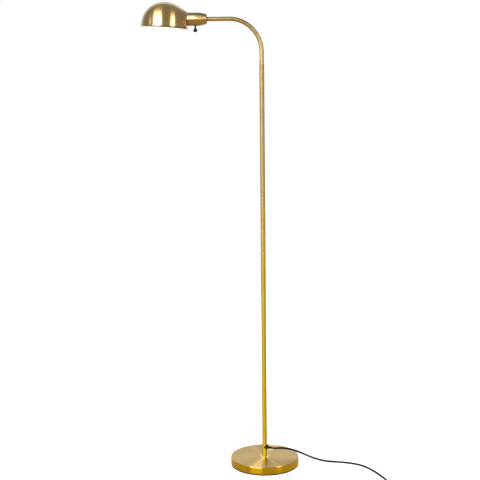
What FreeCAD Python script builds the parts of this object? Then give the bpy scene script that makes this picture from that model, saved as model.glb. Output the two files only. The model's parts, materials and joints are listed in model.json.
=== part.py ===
import FreeCAD, Part
import math
import os
import re
import Sketcher
from FreeCAD import Placement, Rotation, Vector

# A pharmacy floor lamp in millimetres: +Z up, origin on the floor under the middle of the
# round base, the arm reaching out along -X and the supply cord leaving towards +X.

doc = FreeCAD.newDocument("PharmacyFloorLamp")
sheet = doc.addObject("Spreadsheet::Sheet", "dims")
sheet.Label = "dims"

sizes = {
    # base
    "base_radius": 116.3, "base_top": 28.0, "pad_top": 4.0, "pad_inset": 0.8,
    "cover_wall": 1.5, "cover_edge": 1.2, "weight_radius": 112.0, "recess_radius": 22.0,
    "recess_top": 15.0, "washer_radius": 15.0, "washer_thick": 2.0, "spring_radius": 9.0,
    "spring_thick": 1.8, "nut_flats": 17.0, "nut_thick": 5.0, "stud_radius": 5.0,
    "stud_bore": 3.5, "stud_top": 47.0, "stud_bottom": 5.5,
    "ring_radius": 20.0, "ring_rim": 1.0, "ring_rise": 2.6, "ring_gap": 0.05,
    "ring_bevel": 2.0, "ring_step": 0.6,
    # pole
    "pole_radius": 8.0, "pole_wall": 0.8, "pole_top": 1359.0, "pole_count": 3.0,
    "seam_chamfer": 0.25, "foot_plug_top": 52.0, "joiner_length": 40.0, "joiner_bore": 4.0,
    # swivel between pole and arm
    "spigot_radius": 6.0, "spigot_wall": 1.0, "spigot_bottom": 1308.0, "sleeve_top": 1356.0,
    "running_gap": 0.05, "face_gap": 0.1, "shoulder_rise": 0.6, "edging_flange": 1.5,
    "edging_bore": 3.0, "edging_depth": 10.0, "edging_lip": 0.8, "collar_height": 1.0,
    # arm
    "arm_radius": 7.0, "arm_wall": 1.0, "arm_height": 1506.0, "bend_radius": 106.0,
    "arm_end": 176.2, "plug_length": 18.0,
    # socket cup and the swivel in its tail
    "cup_radius": 21.4, "cup_wall": 1.0, "cup_mouth": 241.3, "cup_tail": 177.6,
    "cup_straight": 208.0, "tail_radius": 15.2, "tail_arc": 77.6, "tail_plate": 1.2,
    "tail_inset": 0.5,
    "disc_radius": 7.7, "stub_start": 160.4, "stub_end": 188.4, "strap_thick": 1.5,
    "strap_disc": 11.6, "strap_leg": 8.8, "strap_half": 5.0, "strap_foot": 17.0,
    "strap_end": 204.0, "wave_radius": 7.2, "wave_thick": 1.0, "lock_flats": 12.6,
    "lock_thick": 5.0,
    # lampholder, switch and bulb
    "holder_radius": 18.4, "holder_split": 222.0, "holder_mouth": 254.0, "holder_floor": 4.0,
    "flange_radius": 20.2, "flange_thick": 2.0, "shell_radius": 13.6, "shell_wall": 0.5,
    "shell_inset": 2.0, "screw_radius": 1.5, "screw_head": 2.6, "screw_rise": 1.8,
    "screw_depth": 10.0, "screw_offset": 14.0, "terminal_offset": 11.0, "terminal_depth": 6.0,
    "tongue_radius": 4.0, "tongue_thick": 1.0, "shell_hole": 6.0,
    "knob_reach": 215.5, "knob_stem": 3.1, "knob_stem_top": 19.4, "knob_neck": 30.4,
    "knob_radius": 6.6, "knob_bottom": 41.0, "knob_round": 3.0, "knob_hole": 3.6,
    "shaft_radius": 1.6, "shaft_top": 6.0, "shaft_bottom": 38.0, "shaft_clearance": 1.0,
    "bulb_radius": 24.0, "bulb_middle": 291.0, "bulb_neck": 13.4, "bulb_collar": 252.5,
    "cap_radius": 13.0, "cap_end": 230.0, "tip_radius": 4.5, "tip_point": 2.5,
    "cap_bevel": 3.0, "collar_length": 4.0,
    # shade
    "dome_radius": 75.0, "dome_reach": 316.5, "dome_height": 1487.0, "shade_wall": 1.0,
    "rim_radius": 80.0, "rim_drop": 9.4, "flare_start": 5.0, "flare_radius": 75.5,
    "rim_tilt": 4.1, "neck_radius": 24.4, "neck_round": 2.0, "neck_length": 42.0,
    "neck_flare": 26.0, "neck_hole": 18.7, "clamp_radius": 21.2, "clamp_thick": 4.0,
    # supply cord
    "cord_radius": 3.25, "wire_radius": 2.5, "cord_height": 60.5, "cord_azimuth": 60.0,
    "grommet_hole": 4.3, "grommet_radius": 7.8, "grommet_face": 11.4, "nose_radius": 5.0,
    "nose_tip": 4.1, "nose_end": 19.0, "grommet_root": 3.5, "shank_start": 6.4,
    "shank_end": 8.6, "coil_inner": 22.7, "coil_outer": 45.8,
    "coil_bottom": 1.2, "coil_top": 14.3, "coil_x": 369.5, "coil_y": -268.0, "coil_round": 3.0,
    "tie_width": 8.0, "tie_thick": 1.2, "tie_slack": 0.5, "tie_play": 0.1,
    "plug_x": 302.0, "plug_y": -322.0, "plug_z": 7.5, "plug_turn": 184.0, "plug_width": 25.0,
    "plug_height": 15.0, "plug_body": 30.0, "plug_taper": 22.0, "plug_neck": 4.6,
    "plug_corner": 6.0, "relief_swell": 1.5, "relief_lap": 2.0,
    "blade_gap": 12.7, "blade_width": 6.3, "blade_thick": 1.5, "blade_length": 17.0,
    # wires inside, and how far a cutting tool runs past what it cuts
    "foot_bend": 5.0, "wire_break": 0.3, "core_side": 1.3, "core_run": 5.0, "core_bend": 3.0,
    "cut_margin": 5.0,
}

for row, (alias, size) in enumerate(sizes.items(), start=1):
    sheet.set("A%d" % row, alias)
    sheet.set("B%d" % row, str(size))
    sheet.setAlias("B%d" % row, alias)
doc.recompute()

# The supply cord's own route: out of the grommet, down past the edge of the base, and over
# the floor to the coil. Heights are the cord's middle line.
floor_line = 3.4
cord_route = [
    (16.45, -9.5, 60.5), (32.9, -19.0, 60.5), (58.0, -19.5, 62.5), (86.0, -14.5, 57.5),
    (113.0, -9.0, 46.5), (139.0, -5.0, 33.5), (164.0, -2.0, 21.5), (189.0, 1.0, 12.0),
    (216.0, 4.0, 5.6), (245.0, 4.5, floor_line), (273.0, -1.5, floor_line),
    (301.0, -11.0, floor_line), (328.0, -27.5, floor_line), (348.5, -52.0, floor_line),
    (365.0, -81.0, floor_line), (380.0, -114.0, floor_line), (393.0, -148.0, floor_line),
    (403.0, -182.0, floor_line), (410.0, -214.0, floor_line), (412.0, -243.0, 4.5),
    (412.0, -268.0, 4.5),
]
plug_route = [
    (369.5, -310.5, 11.1), (352.0, -312.5, 10.6), (336.0, -316.0, 8.4), (319.0, -320.8, 7.5),
    (302.0, -322.0, 7.5),
]

nodes = []


def formula(text):
    """The expression with every size read from the sheet."""
    return re.sub(r"[a-z_]+", lambda word: "dims." + word[0] if word[0] in sizes else word[0], text)


def value(text):
    """What a formula comes to now, as a number."""
    return float(sheet.evalExpression(text))


def keep(label, piece):
    """Names a finished sub-part, whose shape is written to a file of that name."""
    piece.Label = label
    nodes.append(piece)
    return piece


def place(piece, x="0", y="0", z="0", turn=None):
    """Puts a piece at a place worked out from the sheet."""
    if turn is not None:
        piece.Placement = Placement(Vector(), turn)
    for axis, text in zip("xyz", (x, y, z)):
        piece.setExpression("Placement.Base." + axis, formula(text))
    return piece


outward = Rotation(Vector(0, 1, 0), -90)    # local +Z runs out along the arm, local +X is up


def new_body(name):
    return doc.addObject("PartDesign::Body", name)


def origin_plane(body, role):
    return [item for item in body.Origin.OriginFeatures if item.Role == role][0]


def new_sketch(body, name, role, lift=None):
    sketch = body.newObject("Sketcher::SketchObject", name)
    sketch.AttachmentSupport = [(origin_plane(body, role), "")]
    sketch.MapMode = "FlatFace"
    if lift is not None:
        sketch.setExpression("AttachmentOffset.Base.z", formula(lift))
    return sketch


def pin_point(sketch, edge, end, x, y):
    """Fixes one end of an edge at a place worked out from the sheet."""
    for kind, text in (("DistanceX", x), ("DistanceY", y)):
        rule = sketch.addConstraint(Sketcher.Constraint(kind, -1, 1, edge, end, value(text)))
        sketch.setExpression("Constraints[%d]" % rule, formula(text))


def arc_between(start, end, radius):
    """An arc of the given radius; a positive one runs anticlockwise from start to end."""
    chord = end - start
    side = Vector(-chord.y, chord.x, 0).normalize()
    reach = math.sqrt(max(radius ** 2 - (chord.Length / 2) ** 2, 0.0))
    middle = (start + end) * 0.5 + side * math.copysign(reach, radius)
    angle_a = math.atan2(start.y - middle.y, start.x - middle.x)
    angle_b = math.atan2(end.y - middle.y, end.x - middle.x)
    circle = Part.Circle(middle, Vector(0, 0, 1), abs(radius))
    if radius > 0:
        return Part.ArcOfCircle(circle, angle_a, angle_b), 1, 2
    return Part.ArcOfCircle(circle, angle_b, angle_a), 2, 1


def outline(sketch, points, arcs=None):
    """A closed outline; arcs gives the radius of the edge that leaves a numbered point."""
    arcs = arcs or {}
    spots = [Vector(value(x), value(y), 0) for x, y in points]
    ends = []
    for index, start in enumerate(spots):
        end = spots[(index + 1) % len(spots)]
        if index in arcs:
            curve, first, last = arc_between(start, end, value(arcs[index]))
        else:
            curve, first, last = Part.LineSegment(start, end), 1, 2
        edge = sketch.addGeometry(curve, False)
        ends.append((edge, first, last))
    for index, (edge, first, last) in enumerate(ends):
        next_edge, next_first, next_last = ends[(index + 1) % len(ends)]
        sketch.addConstraint(Sketcher.Constraint("Coincident", edge, last, next_edge, next_first))
    for index, (edge, first, last) in enumerate(ends):
        pin_point(sketch, edge, first, *points[index])
        if index in arcs:
            size = arcs[index].lstrip("-")
            rule = sketch.addConstraint(Sketcher.Constraint("Radius", edge, value(size)))
            sketch.setExpression("Constraints[%d]" % rule, formula(size))
    return sketch


def turned(name, points, arcs=None):
    """A body turned about its own Z axis from (radius, height) points."""
    body = new_body(name)
    sketch = outline(new_sketch(body, name + "_profile", "XZ_Plane"), points, arcs)
    turn = body.newObject("PartDesign::Revolution", name + "_turn")
    turn.Profile = sketch
    turn.ReferenceAxis = (sketch, ["V_Axis"])
    turn.Angle = 360
    sketch.Visibility = False
    body.Tip = turn
    return body


def tube(name, inner, outer, low, high):
    """A plain ring, washer or tube."""
    return turned(name, [(inner, low), (outer, low), (outer, high), (inner, high)])


def rod(name, radius, low, high):
    return tube(name, "0", radius, low, high)


def extruded(name, role, points, low, length, arcs=None):
    """A body padded from a closed outline, starting at a height above its plane."""
    body = new_body(name)
    sketch = outline(new_sketch(body, name + "_outline", role, low), points, arcs)
    pad = body.newObject("PartDesign::Pad", name + "_pad")
    pad.Profile = sketch
    pad.setExpression("Length", formula(length))
    body.Tip = pad
    return body


def hex_nut(name, flats, bore, low, thick):
    """A hexagon nut across the given flats, with its bore cut through."""
    body = new_body(name)
    sketch = new_sketch(body, name + "_outline", "XY_Plane", low)
    corner = "(%s) / 2 / cos(30 deg)" % flats
    corners = [("%s * cos(%d deg)" % (corner, turn), "%s * sin(%d deg)" % (corner, turn))
               for turn in range(0, 360, 60)]
    outline(sketch, corners)
    hole = sketch.addGeometry(Part.Circle(Vector(), Vector(0, 0, 1), value(bore)), False)
    sketch.addConstraint(Sketcher.Constraint("Coincident", hole, 3, -1, 1))
    rule = sketch.addConstraint(Sketcher.Constraint("Radius", hole, value(bore)))
    sketch.setExpression("Constraints[%d]" % rule, formula(bore))
    pad = body.newObject("PartDesign::Pad", name + "_pad")
    pad.Profile = sketch
    pad.setExpression("Length", formula(thick))
    body.Tip = pad
    return body


def combine(kind, name, first, *others):
    """A boolean of finished shapes: Part::Cut, Part::MultiFuse or Part::Common."""
    result = first
    for count, other in enumerate(others):
        step = doc.addObject(kind, name if count == len(others) - 1 else name + "_step")
        step.Base = result
        step.Tool = other
        result = step
    return result


def group(name, pieces):
    """Identical separate solids kept as one node."""
    compound = doc.addObject("Part::Compound", name)
    compound.Links = pieces
    return compound


def bent_path(points, bend=None):
    """Straight runs joined by tangent arcs, each as large as its two runs allow, or of one bend."""
    spots = [Vector(*point) for point in points]
    edges = []
    start = spots[0]
    radii = []
    for before, corner, after in zip(spots, spots[1:], spots[2:]):
        into = (corner - before).normalize()
        away = (after - corner).normalize()
        half_turn = into.getAngle(away) / 2
        shorter = min((corner - before).Length, (after - corner).Length)
        reach = 0.45 * shorter if bend is None else bend * math.tan(half_turn)
        radius = reach / math.tan(half_turn)
        radii.append(radius)
        first = corner - into * reach
        last = corner + away * reach
        bisector = (away - into).normalize()
        middle = corner + bisector * (radius / math.cos(half_turn) - radius)
        edges.append(Part.LineSegment(start, first).toShape())
        edges.append(Part.Arc(first, middle, last).toShape())
        start = last
    edges.append(Part.LineSegment(start, spots[-1]).toShape())
    return Part.Wire(edges), radii


def swept(name, points, radius, bend=None):
    """A round solid along a bent path, with its volume compared with section times length."""
    path, radii = bent_path(points, bend)
    heading = (Vector(*points[1]) - Vector(*points[0])).normalize()
    circle = Part.Wire(Part.Circle(Vector(*points[0]), heading, radius).toShape())
    shape = path.makePipeShell([circle], True, False)
    expected = math.pi * radius ** 2 * path.Length
    report = "%s: length %.0f, volume ratio %.4f, radii"
    print(report % (name, path.Length, shape.Volume / expected), [round(size, 1) for size in radii])
    piece = doc.addObject("Part::Feature", name)
    piece.Shape = shape
    return piece


# ---- base

def make_base():
    keep("base_pad", rod("base_pad", "base_radius - pad_inset", "0", "pad_top"))
    edge = "cover_edge"
    keep("base_cover", turned("base_cover", [
        ("stud_radius", "base_top - cover_wall"),
        ("base_radius - cover_wall", "base_top - cover_wall"),
        ("base_radius - cover_wall", "pad_top"),
        ("base_radius", "pad_top"),
        ("base_radius", "base_top - " + edge),
        ("base_radius - " + edge, "base_top"),
        ("stud_radius", "base_top"),
    ], {4: edge}))
    keep("base_weight", turned("base_weight", [
        ("stud_radius", "recess_top"), ("recess_radius", "recess_top"),
        ("recess_radius", "pad_top"), ("weight_radius", "pad_top"),
        ("weight_radius", "base_top - cover_wall"), ("stud_radius", "base_top - cover_wall"),
    ]))
    keep("base_ring", turned("base_ring", [
        ("pole_radius + ring_gap", "base_top"), ("ring_radius", "base_top"),
        ("ring_radius", "base_top + ring_rim"),
        ("ring_radius - ring_bevel", "base_top + ring_rim + ring_step"),
        ("pole_radius + ring_bevel", "base_top + ring_rise"),
        ("pole_radius + ring_gap", "base_top + ring_rise"),
    ]))
    keep("base_nipple", tube("base_nipple", "stud_bore", "stud_radius", "stud_bottom", "stud_top"))
    washer_low = "recess_top - washer_thick"
    spring_low = washer_low + " - spring_thick"
    keep("base_washer", tube("base_washer", "stud_radius", "washer_radius", washer_low,
                             "recess_top"))
    keep("base_lock_washer", tube("base_lock_washer", "stud_radius", "spring_radius", spring_low,
                                  washer_low))
    keep("base_nut", hex_nut("base_nut", "nut_flats", "stud_radius", spring_low + " - nut_thick",
                             "nut_thick"))


# ---- pole

def pole_section(name, number):
    """One third of the pole, its outer edges just broken so that the seam is a hairline."""
    length = "(pole_top - base_top) / pole_count"
    low = "base_top + %d * %s" % (number, length)
    high = "base_top + %d * %s" % (number + 1, length)
    inner = "pole_radius - pole_wall"
    return turned(name, [
        (inner, low), ("pole_radius - seam_chamfer", low), ("pole_radius", low + " + seam_chamfer"),
        ("pole_radius", high + " - seam_chamfer"), ("pole_radius - seam_chamfer", high),
        (inner, high),
    ])


def along_cord(piece):
    """Turns a piece built on Z to point out of the pole where the cord leaves it."""
    azimuth = value("cord_azimuth")
    turn = Rotation(Vector(0, 0, 1), azimuth - 90).multiply(Rotation(Vector(0, 1, 0), 90))
    return place(piece, z="cord_height", turn=turn)


def make_pole():
    inner = "pole_radius - pole_wall"
    hole = along_cord(rod("grommet_hole", "grommet_hole", "pole_radius - cut_margin",
                          "pole_radius + cut_margin"))
    keep("pole_lower", combine("Part::Cut", "pole_lower", pole_section("lower_tube", 0), hole))
    keep("pole_middle", pole_section("pole_middle", 1))
    keep("pole_upper", pole_section("pole_upper", 2))
    keep("pole_foot_insert", tube("pole_foot_insert", "stud_radius", inner, "base_top",
                                  "foot_plug_top"))
    for number, name in ((1, "pole_coupling_lower"), (2, "pole_coupling_upper")):
        seam = "base_top + %d * (pole_top - base_top) / pole_count" % number
        keep(name, tube(name, "joiner_bore", inner, seam + " - joiner_length / 2",
                        seam + " + joiner_length / 2"))
    keep("swivel_sleeve", tube("swivel_sleeve", "spigot_radius + running_gap", inner,
                               "spigot_bottom", "sleeve_top"))


# ---- arm

def make_arm():
    body = new_body("arm_tube")
    shoulder = "sleeve_top + face_gap"
    start = shoulder + " + shoulder_rise"
    inner = "arm_radius - arm_wall"
    sketch = outline(new_sketch(body, "spigot_profile", "XZ_Plane"), [
        ("spigot_radius - spigot_wall", "spigot_bottom"), ("spigot_radius", "spigot_bottom"),
        ("spigot_radius", shoulder), ("arm_radius", start),
        ("arm_radius", start + " + collar_height"), (inner, start + " + collar_height"),
        (inner, start), ("spigot_radius - spigot_wall", shoulder),
    ])
    spigot = body.newObject("PartDesign::Revolution", "spigot")
    spigot.Profile = sketch
    spigot.ReferenceAxis = (sketch, ["V_Axis"])
    spigot.Angle = 360
    route = new_sketch(body, "arm_route", "XZ_Plane")
    low = Vector(0, value(start), 0)
    turn_start = Vector(0, value("arm_height - bend_radius"), 0)
    turn_end = Vector(-value("bend_radius"), value("arm_height"), 0)
    far = Vector(-value("arm_end"), value("arm_height"), 0)
    rise = route.addGeometry(Part.LineSegment(low, turn_start), False)
    bend, first, last = arc_between(turn_start, turn_end, value("bend_radius"))
    curve = route.addGeometry(bend, False)
    level = route.addGeometry(Part.LineSegment(turn_end, far), False)
    route.addConstraint(Sketcher.Constraint("Coincident", rise, 2, curve, first))
    route.addConstraint(Sketcher.Constraint("Coincident", curve, last, level, 1))
    pin_point(route, rise, 1, "0", start)
    pin_point(route, rise, 2, "0", "arm_height - bend_radius")
    pin_point(route, curve, last, "-bend_radius", "arm_height")
    pin_point(route, level, 2, "-arm_end", "arm_height")
    rule = route.addConstraint(Sketcher.Constraint("Radius", curve, value("bend_radius")))
    route.setExpression("Constraints[%d]" % rule, formula("bend_radius"))
    section = new_sketch(body, "arm_section", "XY_Plane", start)
    for radius in ("arm_radius", inner):
        ring = section.addGeometry(Part.Circle(Vector(), Vector(0, 0, 1), value(radius)), False)
        section.addConstraint(Sketcher.Constraint("Coincident", ring, 3, -1, 1))
        rule = section.addConstraint(Sketcher.Constraint("Radius", ring, value(radius)))
        section.setExpression("Constraints[%d]" % rule, formula(radius))
    doc.recompute()
    pipe = body.newObject("PartDesign::AdditivePipe", "arm_pipe")
    pipe.Profile = section
    pipe.Spine = (route, ["Edge1", "Edge2", "Edge3"])
    body.Tip = pipe
    keep("arm_tube", body)

    bore = "spigot_radius - spigot_wall"
    keep("arm_edge_bushing", turned("arm_edge_bushing", [
        ("edging_bore", "spigot_bottom - edging_flange"),
        (bore + " + edging_lip", "spigot_bottom - edging_flange"),
        (bore + " + edging_lip", "spigot_bottom"),
        (bore, "spigot_bottom"), (bore, "spigot_bottom + edging_depth"),
        ("edging_bore", "spigot_bottom + edging_depth"),
    ]))
    for name, inner_text, outer_text, low_text, high_text in (
            ("arm_insert", "stud_radius", inner, "arm_end - plug_length", "arm_end"),
            ("head_nipple", "stud_bore", "stud_radius", "stub_start", "stub_end"),
            ("head_washer", "stud_radius", "disc_radius", "arm_end", "cup_tail - face_gap")):
        piece = tube(name, inner_text, outer_text, low_text, high_text)
        keep(name, place(piece, z="arm_height", turn=outward))
    wave_low = "cup_tail + tail_plate + strap_thick + face_gap"
    wave = tube("head_wave_washer", "stud_radius", "wave_radius", wave_low,
                wave_low + " + wave_thick")
    keep("head_wave_washer", place(wave, z="arm_height", turn=outward))
    nut = hex_nut("head_nut", "lock_flats", "stud_radius", wave_low + " + wave_thick",
                  "lock_thick")
    keep("head_nut", place(nut, z="arm_height", turn=outward))


# ---- head

def make_cup():
    inner = "cup_radius - cup_wall"
    tail_in = "cup_tail + tail_plate"
    shell = turned("cup_shell", [
        ("stud_radius + running_gap", "cup_tail"), ("tail_radius", "cup_tail"),
        ("cup_radius", "cup_straight"), ("cup_radius", "cup_mouth"), (inner, "cup_mouth"),
        (inner, "cup_straight"), ("tail_radius - tail_inset", tail_in),
        ("stud_radius + running_gap", tail_in),
    ], {1: "-tail_arc", 5: "tail_arc - cup_wall"})
    place(shell, z="arm_height", turn=outward)
    hole = place(rod("knob_hole", "knob_hole", "arm_height - cup_radius - cut_margin",
                     "arm_height - cup_radius + cut_margin"), x="-knob_reach")
    keep("socket_cup", combine("Part::Cut", "socket_cup", shell, hole))


def make_strap():
    """The strap welded inside the cup's tail that carries the lampholder."""
    low = "cup_tail + tail_plate"
    disc = place(tube("strap_disc", "stud_radius + running_gap", "strap_disc", low,
                      low + " + strap_thick"), z="arm_height", turn=outward)
    legs = []
    for name, side in (("strap_near", "-"), ("strap_far", "")):
        inside = side + "strap_leg"
        outside = side + "(strap_leg + strap_thick)"
        foot = side + "strap_foot"
        leg = extruded(name, "XY_Plane", [
            ("-(%s)" % low, inside), ("-strap_end", inside), ("-strap_end", foot),
            ("-(strap_end - strap_thick)", foot), ("-(strap_end - strap_thick)", outside),
            ("-(%s)" % low, outside),
        ], "-strap_half", "2 * strap_half")
        legs.append(place(leg, z="arm_height"))
    joined = combine("Part::Fuse", "strap_joined", disc, *legs)
    drills = [place(rod("foot_hole_%d" % count, "screw_radius", "strap_end - cut_margin",
                        "strap_end + cut_margin"),
                    y=side + "screw_offset", z="arm_height", turn=outward)
              for count, side in enumerate(("", "-"))]
    keep("holder_bracket", combine("Part::Cut", "holder_bracket", joined, *drills))


def screw(name, y, z, seat, depth):
    """A pan-head screw whose head stands on the seat, towards the pole."""
    piece = turned(name, [
        ("0", "%s - screw_rise" % seat), ("screw_head", "%s - screw_rise" % seat),
        ("screw_head", seat), ("screw_radius", seat), ("screw_radius", "%s + %s" % (seat, depth)),
        ("0", "%s + %s" % (seat, depth)),
    ])
    return place(piece, y=y, z=z, turn=outward)


def make_lampholder():
    block = tube("switch_block", "0", "holder_radius", "strap_end", "holder_split")
    place(block, z="arm_height", turn=outward)
    shaft_bore = place(rod("shaft_bore", "shaft_radius + running_gap",
                           "arm_height - holder_radius - cut_margin",
                           "arm_height - shaft_top + shaft_clearance"), x="-knob_reach")
    seat = "(strap_end - strap_thick)"
    fixings = [screw("holder_screw_%d" % count, side + "screw_offset", "arm_height", seat,
                     "screw_depth") for count, side in enumerate(("", "-"))]
    terminals = [screw("terminal_screw_%d" % count, "0", "arm_height %s terminal_offset" % side,
                       "strap_end", "terminal_depth") for count, side in enumerate("+-")]
    keep("switch_body", combine("Part::Cut", "switch_body", block, shaft_bore, *fixings,
                                *terminals))
    keep("holder_screws", group("holder_screws", fixings))
    keep("terminal_screws", group("terminal_screws", terminals))
    holder = turned("lampholder_body", [
        ("0", "holder_split"), ("holder_radius", "holder_split"),
        ("holder_radius", "cup_mouth - flange_thick"), ("flange_radius", "cup_mouth - flange_thick"),
        ("flange_radius", "cup_mouth"), ("holder_radius", "cup_mouth"),
        ("holder_radius", "holder_mouth"), ("shell_radius", "holder_mouth"),
        ("shell_radius", "holder_split + holder_floor"), ("0", "holder_split + holder_floor"),
    ])
    keep("lampholder_body", place(holder, z="arm_height", turn=outward))
    shell_low = "holder_split + holder_floor"
    shell = turned("screw_shell", [
        ("shell_hole", shell_low), ("shell_radius", shell_low),
        ("shell_radius", "holder_mouth - shell_inset"),
        ("shell_radius - shell_wall", "holder_mouth - shell_inset"),
        ("shell_radius - shell_wall", shell_low + " + shell_wall"),
        ("shell_hole", shell_low + " + shell_wall"),
    ])
    keep("screw_shell", place(shell, z="arm_height", turn=outward))
    tongue = rod("centre_contact", "tongue_radius", shell_low, shell_low + " + tongue_thick")
    keep("centre_contact", place(tongue, z="arm_height", turn=outward))


def make_bulb():
    cap_low = "cap_end"
    tip_low = "holder_split + holder_floor + tongue_thick"
    tip = turned("bulb_contact", [
        ("0", tip_low), ("tip_point", tip_low), ("tip_radius", cap_low), ("0", cap_low),
    ])
    keep("bulb_contact", place(tip, z="arm_height", turn=outward))
    cap = turned("bulb_cap", [
        ("0", cap_low), ("tip_radius", cap_low), ("cap_radius", cap_low + " + cap_bevel"),
        ("cap_radius", "bulb_collar"), ("0", "bulb_collar"),
    ])
    keep("bulb_cap", place(cap, z="arm_height", turn=outward))
    globe = turned("bulb_globe", [
        ("0", "bulb_collar"), ("bulb_neck", "bulb_collar"), ("bulb_neck", "bulb_collar + collar_length"),
        ("bulb_radius", "bulb_middle"), ("0", "bulb_middle + bulb_radius"),
    ], {3: "bulb_radius"})
    keep("bulb_globe", place(globe, z="arm_height", turn=outward))


def dome_solid(name, shrink, overrun=None):
    """The dome filled in, its rim flaring; an overrun carries its foot on past the rim."""
    crown = "dome_radius - " + shrink
    rim = "rim_radius - " + shrink
    foot = [("0", "-rim_drop")]
    if overrun is not None:
        foot = [("0", "-(rim_drop + %s)" % overrun), (rim, "-(rim_drop + %s)" % overrun)]
    side = foot + [(rim, "-rim_drop"), ("flare_radius - " + shrink, "-flare_start"), (crown, "0")]
    body = turned(name, side + [("0", crown)], {len(side) - 1: crown})
    turn = Rotation(Vector(0, 1, 0), value("rim_tilt"))
    return place(body, x="-dome_reach", z="dome_height", turn=turn)


def neck_solid(name, shrink, end):
    """The flared neck on the dome's shoulder, cut off level with its own lowest edge."""
    flare = "neck_length * tan(neck_flare * 1 deg)"
    cone = turned(name + "_cone", [
        ("0", end), ("neck_radius - neck_round - %s" % shrink, end),
        ("neck_radius - %s" % shrink, end + " + neck_round"),
        ("neck_radius - %s + %s" % (shrink, flare), end + " + neck_length"),
        ("0", end + " + neck_length"),
    ], {1: "neck_round"})
    place(cone, z="arm_height", turn=outward)
    low = "arm_height - neck_radius + %s" % shrink
    slab = doc.addObject("Part::Box", name + "_slab")
    slab.setExpression("Length", formula("2 * dome_radius"))
    slab.setExpression("Width", formula("4 * neck_radius"))
    slab.setExpression("Height", formula("3 * neck_radius"))
    place(slab, x="-dome_reach", y="-2 * neck_radius", z=low)
    return combine("Part::Common", name, cone, slab)


def make_shade():
    outer = combine("Part::Fuse", "shade_outer", dome_solid("dome_outer", "0"),
                    neck_solid("neck_outer", "0", "cup_mouth"))
    inner = combine("Part::Fuse", "shade_inner", dome_solid("dome_inner", "shade_wall", "cut_margin"),
                    neck_solid("neck_inner", "shade_wall", "cup_mouth + shade_wall"))
    hole = place(rod("holder_hole", "neck_hole", "cup_mouth - cut_margin",
                     "cup_mouth + cut_margin"),
                 z="arm_height", turn=outward)
    keep("shade", combine("Part::Cut", "shade", outer, inner, hole))
    clamp = tube("shade_ring", "holder_radius", "clamp_radius", "cup_mouth + shade_wall",
                 "cup_mouth + shade_wall + clamp_thick")
    keep("shade_ring", place(clamp, z="arm_height", turn=outward))


def make_knob():
    top = "arm_height - knob_stem_top"
    neck = "arm_height - knob_neck"
    low = "arm_height - knob_bottom"
    high_shaft = "arm_height - shaft_top"
    low_shaft = "arm_height - shaft_bottom"
    knob = turned("switch_knob", [
        ("0", low), ("knob_radius - knob_round", low), ("knob_radius", low + " + knob_round"),
        ("knob_radius", neck + " - knob_round"), ("knob_radius - knob_round", neck),
        ("knob_stem", neck), ("knob_stem", top), ("shaft_radius", top),
        ("shaft_radius", low_shaft), ("0", low_shaft),
    ], {1: "knob_round", 3: "knob_round"})
    keep("switch_knob", place(knob, x="-knob_reach"))
    keep("switch_shaft", place(rod("switch_shaft", "shaft_radius", low_shaft, high_shaft),
                               x="-knob_reach"))


# ---- cord and wires

def make_grommet():
    flange = along_cord(turned("grommet_flange", [
        ("0", "grommet_root"), ("grommet_radius", "grommet_root"),
        ("grommet_radius", "grommet_face"),
        ("nose_radius", "grommet_face"), ("nose_tip", "nose_end"), ("0", "nose_end"),
    ]))
    pole_space = rod("pole_space", "pole_radius", "cord_height - 2 * pole_radius",
                     "cord_height + 2 * pole_radius")
    outside = combine("Part::Cut", "grommet_outside", flange, pole_space)
    shank = along_cord(rod("grommet_shank", "grommet_hole", "shank_start", "shank_end"))
    bore = along_cord(rod("grommet_bore", "wire_radius", "0", "nose_end + cut_margin"))
    joined = combine("Part::Fuse", "grommet_joined", outside, shank)
    keep("cord_bushing", combine("Part::Cut", "cord_bushing", joined, bore))


def make_cord():
    radius = value("cord_radius")
    keep("cord", swept("cord", cord_route, radius))
    keep("cord_end", swept("cord_end", plug_route, radius))
    coil = turned("cord_coil", [
        ("coil_inner", "coil_bottom + coil_round"), ("coil_inner + coil_round", "coil_bottom"),
        ("coil_outer - coil_round", "coil_bottom"), ("coil_outer", "coil_bottom + coil_round"),
        ("coil_outer", "coil_top - coil_round"), ("coil_outer - coil_round", "coil_top"),
        ("coil_inner + coil_round", "coil_top"), ("coil_inner", "coil_top - coil_round"),
    ], {0: "coil_round", 2: "coil_round", 4: "coil_round", 6: "coil_round"})
    keep("cord_coil", place(coil, x="coil_x", y="coil_y"))
    window_in = "-(coil_inner - tie_slack)"
    window_out = "-(coil_outer + tie_play)"
    low = "coil_bottom"
    high = "coil_top + tie_play"
    band = extruded("tie_band", "XZ_Plane", [
        (window_out + " - tie_thick", low + " - tie_thick"),
        (window_in + " + tie_thick", low + " - tie_thick"),
        (window_in + " + tie_thick", high + " + tie_thick"),
        (window_out + " - tie_thick", high + " + tie_thick"),
    ], "-tie_width / 2", "tie_width")
    window = extruded("tie_window", "XZ_Plane", [
        (window_out, low), (window_in, low), (window_in, high), (window_out, high),
    ], "-tie_width", "2 * tie_width")
    for piece in (band, window):
        place(piece, x="coil_x", y="coil_y")
    keep("cord_tie", combine("Part::Cut", "cord_tie", band, window))


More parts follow.
